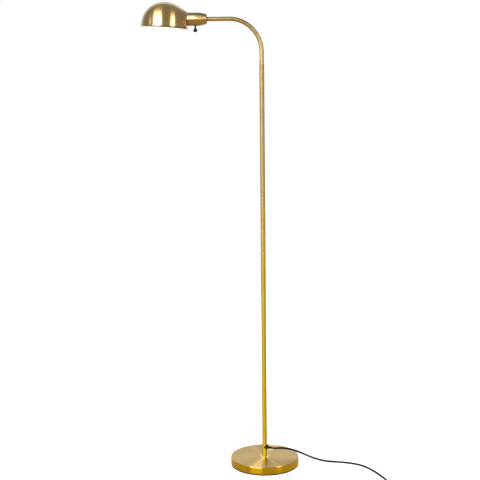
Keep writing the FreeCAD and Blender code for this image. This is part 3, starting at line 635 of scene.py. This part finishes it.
# Adds the copies to the piece itself, makes them real and gives everything one material
def joinAndPaint(tree, start, end, copies):
    both = tree.nodes.new("GeometryNodeJoinGeometry")
    tree.links.new(copies.outputs[0], both.inputs[0])
    tree.links.new(start.outputs["Geometry"], both.inputs[0])
    plain = addNode(tree, "GeometryNodeRealizeInstances", Geometry=both.outputs[0])
    painted = addNode(tree, "GeometryNodeSetMaterial", Geometry=plain.outputs[0],
                      Material=start.outputs["Material"])
    tree.links.new(painted.outputs[0], end.inputs["Geometry"])


# Upright round-backed ribs in a circle, joined to the piece they grip
def makeGripRibs():
    tree, start, end = geometryTree("gripRibs", [
        ("Count", "Int"), ("Circle Radius", "Float"),
        ("Rib Radius", "Float"), ("Rib Length", "Float"),
        ("Middle", "Vector"), ("Material", "Material"),
    ])
    circle = addNode(tree, "GeometryNodeMeshCircle", Vertices=start.outputs["Count"],
                     Radius=start.outputs["Circle Radius"])
    rib = addNode(tree, "GeometryNodeMeshCylinder", {"fill_type": "TRIANGLE_FAN"}, Vertices=8,
                  Radius=start.outputs["Rib Radius"], Depth=start.outputs["Rib Length"])
    placed = addNode(tree, "GeometryNodeInstanceOnPoints", Points=circle.outputs[0],
                     Instance=rib.outputs[0])
    moved = addNode(tree, "GeometryNodeTransform", Geometry=placed.outputs[0],
                    Translation=start.outputs["Middle"])
    joinAndPaint(tree, start, end, moved)
    return tree


# Round rings strung along an axis, each a little smaller than the one before
def makeReliefRings():
    tree, start, end = geometryTree("reliefRings", [
        ("Count", "Int"), ("First Place", "Vector"),
        ("Step", "Vector"), ("Turn", "Rotation"),
        ("Ring Radius", "Float"), ("Shrink", "Float"),
        ("Bead Radius", "Float"), ("Material", "Material"),
    ])
    line = addNode(tree, "GeometryNodeMeshLine", {"mode": "OFFSET"}, Count=start.outputs["Count"],
                   Start_Location=start.outputs["First Place"], Offset=start.outputs["Step"])
    hoop = addNode(tree, "GeometryNodeCurvePrimitiveCircle", Resolution=40,
                   Radius=start.outputs["Ring Radius"])
    bead = addNode(tree, "GeometryNodeCurvePrimitiveCircle", Resolution=8,
                   Radius=start.outputs["Bead Radius"])
    ring = addNode(tree, "GeometryNodeCurveToMesh", Curve=hoop.outputs[0], Profile_Curve=bead.outputs[0])
    number = tree.nodes.new("GeometryNodeInputIndex").outputs[0]
    size = doMath(tree, "SUBTRACT", 1.0, times(tree, number, start.outputs["Shrink"]))
    placed = addNode(tree, "GeometryNodeInstanceOnPoints", Points=line.outputs[0],
                     Instance=ring.outputs[0], Rotation=start.outputs["Turn"], Scale=size)
    joinAndPaint(tree, start, end, placed)
    return tree


# Runs a geometry tree on a piece with the given named inputs, and keeps the plain mesh
def growWith(piece, tree, settings):
    modifier = piece.modifiers.new(tree.name, "NODES")
    modifier.node_group = tree
    sockets = {item.name: item.identifier for item in tree.interface.items_tree if item.in_out == "INPUT"}
    for key, setting in settings.items():
        modifier[sockets[key]] = setting
    return applied(piece)


gripRibs = makeGripRibs()
reliefRings = makeReliefRings()
print("geometry trees made")


# Strain-relief rings along the axis, which starts at the place given
def ringed(piece, size, place, axis, material):
    growWith(piece, reliefRings, {
        "Count": size["rings"], "First Place": tuple(place + axis * size["firstRing"] * mm),
        "Step": tuple(axis * size["ringStep"] * mm),
        "Turn": tuple(axis.to_track_quat("Z", "Y").to_euler()),
        "Ring Radius": size["ringRadius"] * mm, "Shrink": size["shrink"],
        "Bead Radius": size["bead"] * mm, "Material": material,
    })


shadeSizes = {
    "domeRadius": 75.0, "wall": 1.0, "rimRadius": 80.0, "rimDrop": 9.4, "tilt": 4.1,
    "flareStart": 5.0, "flareRadius": 75.5, "flareCurve": 1.7,
    "neckRadius": 24.4, "neckAngle": 26.0, "neckLimit": 47.0, "blend": 11.0, "edgeRound": 3.2,
    "holeRadius": 18.7, "fineStep": 0.9, "coarseStep": 3.0, "fineSpan": 32.0,
    "fineLow": 0.0, "fineHigh": 38.0, "flareRows": 12, "coneBlend": 6.0, "holeSpan": (-15, 8),
    "nearest": 30.0, "farthest": 130.0, "halvings": 40, "lipMap": -0.07,
}


# The smaller of two distances, their meeting rounded over a width
def smoothLeast(first, second, width):
    near = np.maximum(width - np.abs(first - second), 0) / width
    return np.minimum(first, second) - near * near * width / 4


# The shade's outer surface as a signed distance, in millimetres in the row frame
class ShadeForm:
    def __init__(self):
        size = shadeSizes
        low, high = [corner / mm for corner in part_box("shade")]
        cupLow, cupHigh = [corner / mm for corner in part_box("socket_cup")]
        self.tilt = math.radians(size["tilt"])
        self.centre = np.array(((low.x + high.x) / 2 + size["rimDrop"] * math.sin(self.tilt), 0.0,
                                high.z - size["domeRadius"]))
        self.neckEnd = cupLow.x
        self.axisHeight = (cupLow.z + cupHigh.z) / 2
        self.turn = np.array(((math.cos(self.tilt), 0, math.sin(self.tilt)), (0, 1, 0),
                              (-math.sin(self.tilt), 0, math.cos(self.tilt))))

    # The rim's radius at a depth below the dome's middle
    def flare(self, drop):
        size = shadeSizes
        upper = size["domeRadius"] + (size["flareRadius"] - size["domeRadius"]) * np.clip(
            drop / size["flareStart"], 0, 1)
        share = np.clip((drop - size["flareStart"]) / (size["rimDrop"] - size["flareStart"]), 0, 1)
        return upper + (size["rimRadius"] - size["flareRadius"]) * share ** size["flareCurve"]

    def neck(self, points):
        size = shadeSizes
        depth = self.neckEnd - points[..., 0]
        reach = np.hypot(points[..., 1], points[..., 2] - self.axisHeight)
        slope = math.tan(math.radians(size["neckAngle"]))
        cone = smoothLeast(size["neckRadius"] + slope * depth, size["neckLimit"], size["coneBlend"])
        side = (reach - cone) * math.cos(math.radians(size["neckAngle"]))
        behind = self.centre[0] - points[..., 0]
        return np.maximum(side, behind)

    # How far outside the shade a point of the tilted frame is
    def distance(self, local):
        size = shadeSizes
        points = local @ self.turn.T + self.centre
        ball = np.linalg.norm(local, axis=-1) - size["domeRadius"]
        lower = np.hypot(local[..., 0], local[..., 1]) - self.flare(-local[..., 2])
        dome = np.where(local[..., 2] >= 0, ball, lower)
        both = smoothLeast(dome, self.neck(points), size["blend"])
        slack = np.maximum(self.axisHeight - size["neckRadius"] - points[..., 2], 0)
        plane = points[..., 0] - self.neckEnd - slack
        return -smoothLeast(-both, -plane, size["edgeRound"])


# Angles from start to end, close together in one stretch and further apart outside it
def unevenSteps(start, end, fineFrom, fineTo, fine, coarse):
    stretches = [(start, fineFrom, coarse), (fineFrom, fineTo, fine), (fineTo, end, coarse)]
    angles = []
    for low, high, step in stretches:
        count = max(round((high - low) / step), 0)
        angles += [low + (high - low) * index / count for index in range(count)] if count else []
    return np.radians(np.array(angles + [end]))


# Where lines that leave the shade's middle cross its surface, by halving
def outermost(form, starts, directions):
    near = np.full(starts.shape[:-1], shadeSizes["nearest"])
    far = np.full(starts.shape[:-1], shadeSizes["farthest"])
    for _ in range(shadeSizes["halvings"]):
        middle = (near + far) / 2
        outside = form.distance(starts + directions * middle[..., None]) > 0
        far = np.where(outside, middle, far)
        near = np.where(outside, near, middle)
    return starts + directions * far[..., None]


def makeShade():
    size = shadeSizes
    form = ShadeForm()
    around = unevenSteps(-180, 180, -size["fineSpan"], size["fineSpan"], size["fineStep"],
                         size["coarseStep"])[:-1]
    up = unevenSteps(0, 90, size["fineLow"], size["fineHigh"], size["fineStep"], size["coarseStep"])[:-1]
    sides = np.stack((np.cos(around), np.sin(around), np.zeros_like(around)), -1)
    rows = []
    for drop in np.linspace(size["rimDrop"], 0, size["flareRows"], endpoint=False):
        starts = np.broadcast_to(np.array((0, 0, -drop)), sides.shape)
        rows.append(outermost(form, starts, sides))
    for angle in up:
        lines = sides * math.cos(angle) + np.array((0, 0, math.sin(angle)))
        rows.append(outermost(form, np.zeros_like(lines), lines))
    crown = np.array(((0.0, 0.0, size["domeRadius"]),))
    points = np.concatenate(rows + [crown]) @ form.turn.T + form.centre
    count, levels = len(around), len(rows)
    faces = loopFaces(levels, count)
    spots = [((step, row), (step + 1, row), (step + 1, row + 1), (step, row + 1))
             for row in range(levels - 1) for step in range(count)]
    for step in range(count):
        after = (step + 1) % count
        faces.append(((levels - 1) * count + step, (levels - 1) * count + after, levels * count))
        spots.append(((step, levels - 1), (step + 1, levels - 1), (step + 0.5, levels)))
    shade = newPiece("half_dome_shade", points * mm, faces, finishes["shadeBrass"])
    turns = np.append(around, around[0] + wholeTurn) / wholeTurn
    heights = np.append(np.linspace(size["lipMap"], 0, size["flareRows"], endpoint=False),
                        np.append(up, math.pi / 2) / math.pi)
    layer = shade.data.uv_layers.new(name="spun")
    flat = [(float(np.interp(u, range(count + 1), turns)), float(heights[v]))
            for face in spots for u, v in face]
    layer.data.foreach_set("uv", np.array(flat, np.float32).ravel())
    shade.data.materials.append(finishes["white_enamel"])
    shell = shade.modifiers.new("wall", "SOLIDIFY")
    shell.thickness = size["wall"] * mm
    shell.offset = -1
    shell.use_even_offset = True
    shell.material_offset = 1
    shell.material_offset_rim = 0
    drilled(shade, size["holeRadius"], *size["holeSpan"],
            Vector((form.neckEnd, 0, form.axisHeight)) * mm, Vector((1, 0, 0)), 96)
    creaseSharp(shade, 40)
    print("shade:", len(shade.data.polygons), "faces")
    return finished(shade, "head", "satin_brass", "shade")


coverSizes = {"radius": 116.3, "wall": 1.5, "edge": 1.6, "innerEdge": 0.8, "hole": 5.0}
# The ring's corners: distance from the axis, height above the plate, rounding
ringCorners = [(8.05, 0), (20.0, 0), (20.0, 1.1, 0.5), (16.8, 1.5, 2.0), (11.55, 2.6, 1.6),
               (8.05, 2.6, 0.4), (8.05, 0)]


def makeBase():
    size = coverSizes
    low, high = [corner.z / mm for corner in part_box("base_cover")]
    inside = size["radius"] - size["wall"]
    cover = turnedPiece("base_plate", roundedProfile([
        (size["hole"], high - size["wall"]), (inside, high - size["wall"], size["innerEdge"]), (inside, low),
        (size["radius"], low), (size["radius"], high, size["edge"]), (size["hole"], high),
        (size["hole"], high - size["wall"]),
    ], 6), finishes["plateBrass"], Vector(), count=160)
    creaseSharp(cover, 50)
    finished(cover, "stand", "satin_brass", "base_cover")
    corners = [(reach, high + up, *rounding) for reach, up, *rounding in ringCorners]
    ring = turnedPiece("pole_ring", roundedProfile(corners), finishes["ringBrass"], Vector(), count=96)
    creaseSharp(ring, 50)
    finished(ring, "stand", "satin_brass", "base_ring")


cupSizes = {
    "radius": 21.4, "wall": 1.0, "straight": 33.3, "tailRadius": 15.2, "bore": 5.05,
    "plate": 1.2, "bevel": 0.5, "mouth": 0.6, "tailRows": 12, "knobHole": 3.6, "knobReach": 25.8,
    "drill": 6.0,
}


# A bullet-shaped cup: straight from its mouth, then curving in to a flat tail
def makeCup():
    size = cupSizes
    low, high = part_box("socket_cup")
    place = Vector((low.x, 0, (low.z + high.z) / 2))
    length = (high.x - low.x) / mm
    bevel = size["bevel"]
    drop = size["radius"] - size["tailRadius"]
    run = length - size["straight"]
    outer = []
    for step in range(size["tailRows"] + 1):   # a curve that leaves the straight part smoothly
        share = step / size["tailRows"]
        outer.append((size["radius"] - drop * share ** 2, size["straight"] + run * share))
    outer.reverse()
    inner = [(radius - size["wall"], min(reach, length - size["plate"]))
             for radius, reach in reversed(outer)]
    profile = [(size["bore"], length - size["plate"]), (size["bore"], length)]
    profile += [(size["tailRadius"] - bevel, length), (outer[0][0], length - bevel)] + outer[1:]
    profile += [(size["radius"], size["mouth"]), (size["radius"] - bevel, 0.0),
                (size["radius"] - size["wall"], 0.0)] + inner
    profile.append(profile[0])
    cup = turnedPiece("lampholder_cup", profile, finishes["shadedCupBrass"], place, Vector((1, 0, 0)), 96)
    below = place + Vector((size["knobReach"], 0, -size["radius"])) * mm
    drilled(cup, size["knobHole"], -size["drill"], size["drill"], below, Vector((0, 0, 1)), 32)
    creaseSharp(cup, 40)
    return finished(cup, "head", "satin_brass", "socket_cup")


knobSizes = {
    # corners from the face up: distance from the axis, height above the face, rounding
    "corners": [(0, 0.35), (2.5, 0.35, 0.3), (3.0, 0, 0.2), (6.3, 0, 3.2), (6.3, 10.6, 3.2),
                (3.1, 10.6, 0.1)],
    "stem": 3.1, "stemEdge": 0.2,
    "grip": 6.3, "ribs": 26, "ribRadius": 0.42, "ribLength": 4.6, "ribMiddle": 5.3,
}


def makeKnob():
    size = knobSizes
    low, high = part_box("switch_knob")
    place = Vector(((low.x + high.x) / 2, 0, low.z))
    top = (high.z - low.z) / mm
    profile = roundedProfile(size["corners"] + [(size["stem"], top, size["stemEdge"]), (0, top)])
    knob = turnedPiece("grip_knob", profile, finishes["black_plastic"], place)
    growWith(knob, gripRibs, {
        "Count": size["ribs"], "Circle Radius": size["grip"] * mm,
        "Rib Radius": size["ribRadius"] * mm, "Rib Length": size["ribLength"] * mm,
        "Middle": tuple(place + Vector((0, 0, size["ribMiddle"] * mm))),
        "Material": finishes["black_plastic"],
    })
    creaseSharp(knob)
    return finished(knob, "knob", "black_plastic", "switch_knob")


bushingSizes = {
    "azimuth": 60.0, "height": 60.5, "pole": 8.03, "shank": 4.25,
    # corners: distance from its own axis, distance from the pole's axis, rounding
    "corners": [(0, 6.5), (4.2, 6.5, 0.2), (4.2, 7.4, 0.05), (7.8, 7.5, 0.1), (7.8, 11.4, 1.5),
                (5.0, 11.4, 0.4), (4.1, 19.0, 0.5), (3.3, 19.0, 0.1), (3.3, 17.8), (0, 17.8)],
    "rings": 3, "ringRadius": 4.55, "shrink": 0.045, "bead": 0.55, "firstRing": 13.2,
    "ringStep": 1.9,
}


def makeBushing():
    size = bushingSizes
    azimuth = math.radians(size["azimuth"])
    axis = Vector((math.sin(azimuth), -math.cos(azimuth), 0))
    place = Vector((0, 0, size["height"] * mm))
    bushing = turnedPiece("cord_grommet", roundedProfile(size["corners"]),
                          finishes["black_plastic"], place, axis)
    side = axis.cross(Vector((0, 0, 1)))
    for vertex in bushing.data.vertices:   # the flange's back follows the round pole
        spot = vertex.co - place
        along, across = spot.dot(axis), spot.dot(side)
        lift = (spot - axis * along).length
        if lift > size["shank"] * mm and along < size["pole"] * mm:
            wanted = math.sqrt(max((size["pole"] * mm) ** 2 - across ** 2, 0))
            vertex.co += axis * (wanted - along)
    ringed(bushing, size, place, axis, finishes["black_plastic"])
    creaseSharp(bushing)
    return finished(bushing, "stand", "black_plastic", "cord_bushing")


tieSizes = {"width": 8.0, "thick": 1.2, "bevel": 0.3, "corner": 3.0, "steps": 6}


# A flat strap drawn round the coil's turns
def makeTie():
    size = tieSizes
    low, high = [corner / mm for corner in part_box("cord_tie")]
    middleY = (low.y + high.y) / 2
    thick, bevel = size["thick"], size["bevel"]
    half = size["width"] / 2 - bevel

    def loop(grow):
        corners = []
        radius = size["corner"] + grow
        inset = thick + size["corner"]
        left, right, bottom, top = low.x + inset, high.x - inset, low.z + inset, high.z - inset
        for x, z, start in ((right, top, 0), (left, top, 90), (left, bottom, 180), (right, bottom, 270)):
            for step in range(size["steps"] + 1):
                angle = math.radians(start + 90 * step / size["steps"])
                corners.append((x + radius * math.cos(angle), z + radius * math.sin(angle)))
        return corners

    section = [(0.0, -half), (0.0, half), (bevel, half + bevel), (thick - bevel, half + bevel),
               (thick, half), (thick, -half), (thick - bevel, -half - bevel), (bevel, -half - bevel)]
    rings = [[Vector((x, middleY + across, z)) * mm for x, z in loop(grow)] for grow, across in section]
    rings.append(rings[0])   # the doubles merge below
    points = [point for ring in rings for point in ring]
    tie = newPiece("coil_strap", points, loopFaces(len(rings), len(rings[0])), finishes["black_cord"])
    facesOutward(tie)
    creaseSharp(tie)
    return finished(tie, "stand", "black_cord", "cord_tie")


plugSizes = {
    "place": (302.0, -322.0, 7.5), "turn": 184.0, "width": 12.5, "height": 7.5, "neck": 4.6,
    "relief": 22.0, "reliefGrow": 1.5, "body": 52.0, "swellFrom": 12.1, "swellOver": 13.64,
    "nose": 2.2, "noseRound": 1.2, "waist": 0.9, "waistAt": 38.0, "waistSpan": 6.5,
    "square": 2.2, "reliefRows": 10, "bodyRows": 14, "noseRows": 6, "points": 40,
    "rings": 5, "ringRadius": 4.75, "shrink": -0.045, "firstRing": 4.0, "ringStep": 3.2,
    "bead": 0.7,
}


# Half width, half height and squareness of the plug's body at a distance along it
def plugSection(reach):
    size = plugSizes
    grow = min(max((reach - size["swellFrom"]) / size["swellOver"], 0), 1)
    grow = grow * grow * (3 - 2 * grow)
    nose = min(max((size["body"] - reach) / size["nose"], 0), 1)
    tuck = (math.sqrt(max(1 - (1 - nose) ** 2, 0)) - 1) * size["noseRound"]
    waist = size["waist"] * math.exp(-((reach - size["waistAt"]) / size["waistSpan"]) ** 2)
    relief = size["neck"] + size["reliefGrow"] * min(reach / size["relief"], 1)
    return (relief + (size["width"] - relief) * grow + tuck - waist * grow,
            relief + (size["height"] - relief) * grow + tuck * 0.8, 2 + size["square"] * grow)


def makePlug():
    size = plugSizes
    frameTurn = Matrix.Rotation(math.radians(size["turn"]), 4, "Z")
    place = Matrix.Translation(Vector(size["place"]) * mm) @ frameTurn
    rows = size["reliefRows"], size["bodyRows"], size["noseRows"]
    straight = size["body"] - size["nose"] - size["relief"]
    reaches = [size["relief"] * index / rows[0] for index in range(rows[0])]
    reaches += [size["relief"] + straight * index / rows[1] for index in range(rows[1])]
    reaches += [size["body"] - size["nose"] * (1 - index / rows[2]) ** 2 for index in range(rows[2] + 1)]
    points = [Vector((0, 0, 0))]
    for reach in reaches:
        wide, tall, square = plugSection(reach)
        for step in range(size["points"]):
            angle = wholeTurn * step / size["points"]
            across, up = math.cos(angle), math.sin(angle)
            points.append(Vector((reach, wide * math.copysign(abs(across) ** (2 / square), across),
                                  tall * math.copysign(abs(up) ** (2 / square), up))))
    points.append(Vector((size["body"], 0, 0)))
    count = size["points"]
    faces = loopFaces(len(reaches), count, 1)
    last = 1 + (len(reaches) - 1) * count
    for step in range(count):
        after = (step + 1) % count
        faces += [(0, 1 + after, 1 + step), (last + step, last + after, len(points) - 1)]
    plug = newPiece("moulded_plug", [place @ (point * mm) for point in points], faces,
                    finishes["black_cord"])
    facesOutward(plug)
    axis = frameTurn.to_3x3() @ Vector((1, 0, 0))
    ringed(plug, size, Vector(size["place"]) * mm, axis, finishes["black_cord"])
    creaseSharp(plug, 45)
    return finished(plug, "stand", "black_cord", "plug_body")


makeCamera()
cord = makeCord(finishes["black_cord"])
finished(cord, "stand", "black_cord", "cord", "cord_end", "cord_coil")
bushing = makeBushing()
tie = makeTie()
plug = makePlug()
print("cord, bushing, tie and plug made")
makeShade()
makeBase()
makeCup()
makeKnob()
print("shade, base, cup and knob made")

ownFinish = {
    "pole_lower": "poleBrass", "pole_middle": "poleBrass", "pole_upper": "poleBrass",
    "arm_tube": "armBrass",
}
for entry in frame["record"]["subparts"]:
    node = frame["nodes"][entry["node"]]
    node.data.materials.clear()
    node.data.materials.append(finishes[ownFinish.get(entry["node"], entry["material_slot"])])
print("materials given to", len(frame["nodes"]), "frame pieces")


studio = {
    "floorRadius": 4.0, "floorTone": (0.86, 0.86, 0.86), "floorGlow": 0.62,
    "fadeFrom": 2.0, "fadeTo": 3.8,
    "backdrop": 1.0, "cool": (0.97, 0.985, 1.0, 1), "warm": (1.0, 0.78, 0.38, 1), "room": 0.27,
    # how much each adds to the room, and between which two directions it comes in
    "wall": (0.36, 0.42, 0.82), "wallFoot": (-0.3, -0.1), "warmFade": (-0.34, -0.12),
    "bounce": (0.45, -0.08, 0.0), "deepBounce": (-0.14, -0.4, -0.15),
    "glow": (0.32, 0.36, 0.58), "glowSide": (0.1, 0.4), "glowBack": (0.5, 0.8),
}
# Soft boxes that stand in front: each lights a stripe of the reflections between two places
# across a ball, -1 at its left edge and 1 at its right, and fades out upwards.
softBoxes = [
    {"left": -0.405, "right": -0.085, "power": 9.0, "soft": 0.03, "top": 0.76},
    {"left": 0.33, "right": 0.475, "power": 5.4, "soft": 0.03, "top": 0.66},
    {"left": -0.60, "right": -0.52, "power": 0.9, "soft": 0.03, "top": 0.55},
]
stripeFade = {"full": 0.18, "foot": 0.04, "under": -0.03}


def makeFloor():
    count = 96
    rim = [(studio["floorRadius"] * math.cos(wholeTurn * step / count),
            studio["floorRadius"] * math.sin(wholeTurn * step / count), 0) for step in range(count)]
    material, tree, skin, place = newMaterial("paleFloor", {
        "Base Color": (*studio["floorTone"], 1), "Roughness": 0.9, "Specular IOR Level": 0.1,
        "Emission Color": (1, 1, 1, 1), "Emission Strength": studio["floorGlow"],
    })
    reach = addNode(tree, "ShaderNodeVectorMath", {"operation": "LENGTH"}, i0=place).outputs[1]
    rays = tree.nodes.new("ShaderNodeLightPath")   # the brass reflects the studio, not the disc
    seen = doMath(tree, "SUBTRACT", 1.0, rays.outputs["Is Glossy Ray"])
    edge = ramp(tree, reach, 1.0, 0.0, studio["fadeFrom"], studio["fadeTo"])
    tree.links.new(times(tree, seen, edge), skin.inputs["Alpha"])
    floor = newPiece("floor", rim, [tuple(range(count))], material, smooth=False)


# A soft-edged stripe between the box's two sides, dimming up to its top
def stripe(tree, spots, box):
    across = spots.outputs["X"]
    rise = ramp(tree, across, 0.0, 1.0, box["left"] - box["soft"], box["left"] + box["soft"])
    fall = ramp(tree, across, 1.0, 0.0, box["right"] - box["soft"], box["right"] + box["soft"])
    above = addNode(tree, "ShaderNodeMapRange", Value=spots.outputs["Z"], From_Min=box["top"],
                    From_Max=stripeFade["full"])
    dimming = doMath(tree, "POWER", above.outputs[0], 2.0)
    lit = times(tree, times(tree, rise, fall), box["power"])
    return times(tree, lit, dimming)


# White behind the lamp; a dim room in front of it with tall soft boxes in it
def makeWorld():
    world = bpy.data.worlds.new("studio")
    bpy.context.scene.world = world
    world.use_nodes = True
    tree = world.node_tree
    tree.nodes.clear()
    place = addNode(tree, "ShaderNodeTexCoord").outputs["Generated"]
    parts = addNode(tree, "ShaderNodeSeparateXYZ", Vector=place)
    facing = addNode(tree, "ShaderNodeVectorMath", {"operation": "ADD"}, i0=place,
                     i1=(0.0, -1.0001, 0.0)).outputs[0]
    halfway = addNode(tree, "ShaderNodeVectorMath", {"operation": "NORMALIZE"}, i0=facing)
    spots = addNode(tree, "ShaderNodeSeparateXYZ", Vector=halfway.outputs[0])
    sideways, back, up = [parts.outputs[key] for key in "XYZ"]
    wall, fromLow, fromHigh = studio["wall"]
    level = times(tree, ramp(tree, back, 0.0, wall, fromLow, fromHigh),
                  ramp(tree, up, 0.0, 1.0, *studio["wallFoot"]))
    level = plus(tree, level, studio["room"])
    for bounce, fromLow, fromHigh in (studio["bounce"], studio["deepBounce"]):
        level = plus(tree, level, ramp(tree, up, bounce, 0.0, fromLow, fromHigh))
    beside = doMath(tree, "ABSOLUTE", sideways)
    power, fromLow, fromHigh = studio["glow"]
    glow = times(tree, ramp(tree, beside, 1.0, 0.0, *studio["glowSide"]),
                 ramp(tree, up, 0.0, power, fromLow, fromHigh))
    glow = times(tree, glow, ramp(tree, back, 0.0, 1.0, *studio["glowBack"]))
    level = plus(tree, level, glow)
    stripes = 0.0
    for box in softBoxes:
        stripes = plus(tree, stripe(tree, spots, box), stripes)
    foot = ramp(tree, spots.outputs["Z"], 0.0, 1.0, stripeFade["under"], stripeFade["foot"])
    level = plus(tree, level, times(tree, stripes, foot))
    tint = blendColours(tree, ramp(tree, up, 1.0, 0.0, *studio["warmFade"]), studio["cool"], studio["warm"])
    room = addNode(tree, "ShaderNodeBackground", Color=tint, Strength=level)
    white = addNode(tree, "ShaderNodeBackground", Color=(1, 1, 1, 1), Strength=studio["backdrop"])
    rays = tree.nodes.new("ShaderNodeLightPath")
    mix = addNode(tree, "ShaderNodeMixShader", i0=rays.outputs["Is Camera Ray"],
                  i1=room.outputs[0], i2=white.outputs[0])
    addNode(tree, "ShaderNodeOutputWorld", Surface=mix.outputs[0])


# One wide overhead panel, for a soft shadow under the base; the brass doesn't reflect it
panel = {"size": 2.4, "energy": 10, "place": (0.2, 0.6, 3.4)}


def makeLight():
    data = bpy.data.lights.new("overhead", "AREA")
    data.size = panel["size"]
    data.energy = panel["energy"]
    lamp = bpy.data.objects.new("overhead", data)
    bpy.context.scene.collection.objects.link(lamp)
    lamp.matrix_world = Matrix.Translation(panel["place"])
    lamp.visible_camera = False
    lamp.visible_glossy = False


makeFloor()
makeWorld()
makeLight()
bpy.context.scene.view_settings.view_transform = "Standard"
print("floor and light made")
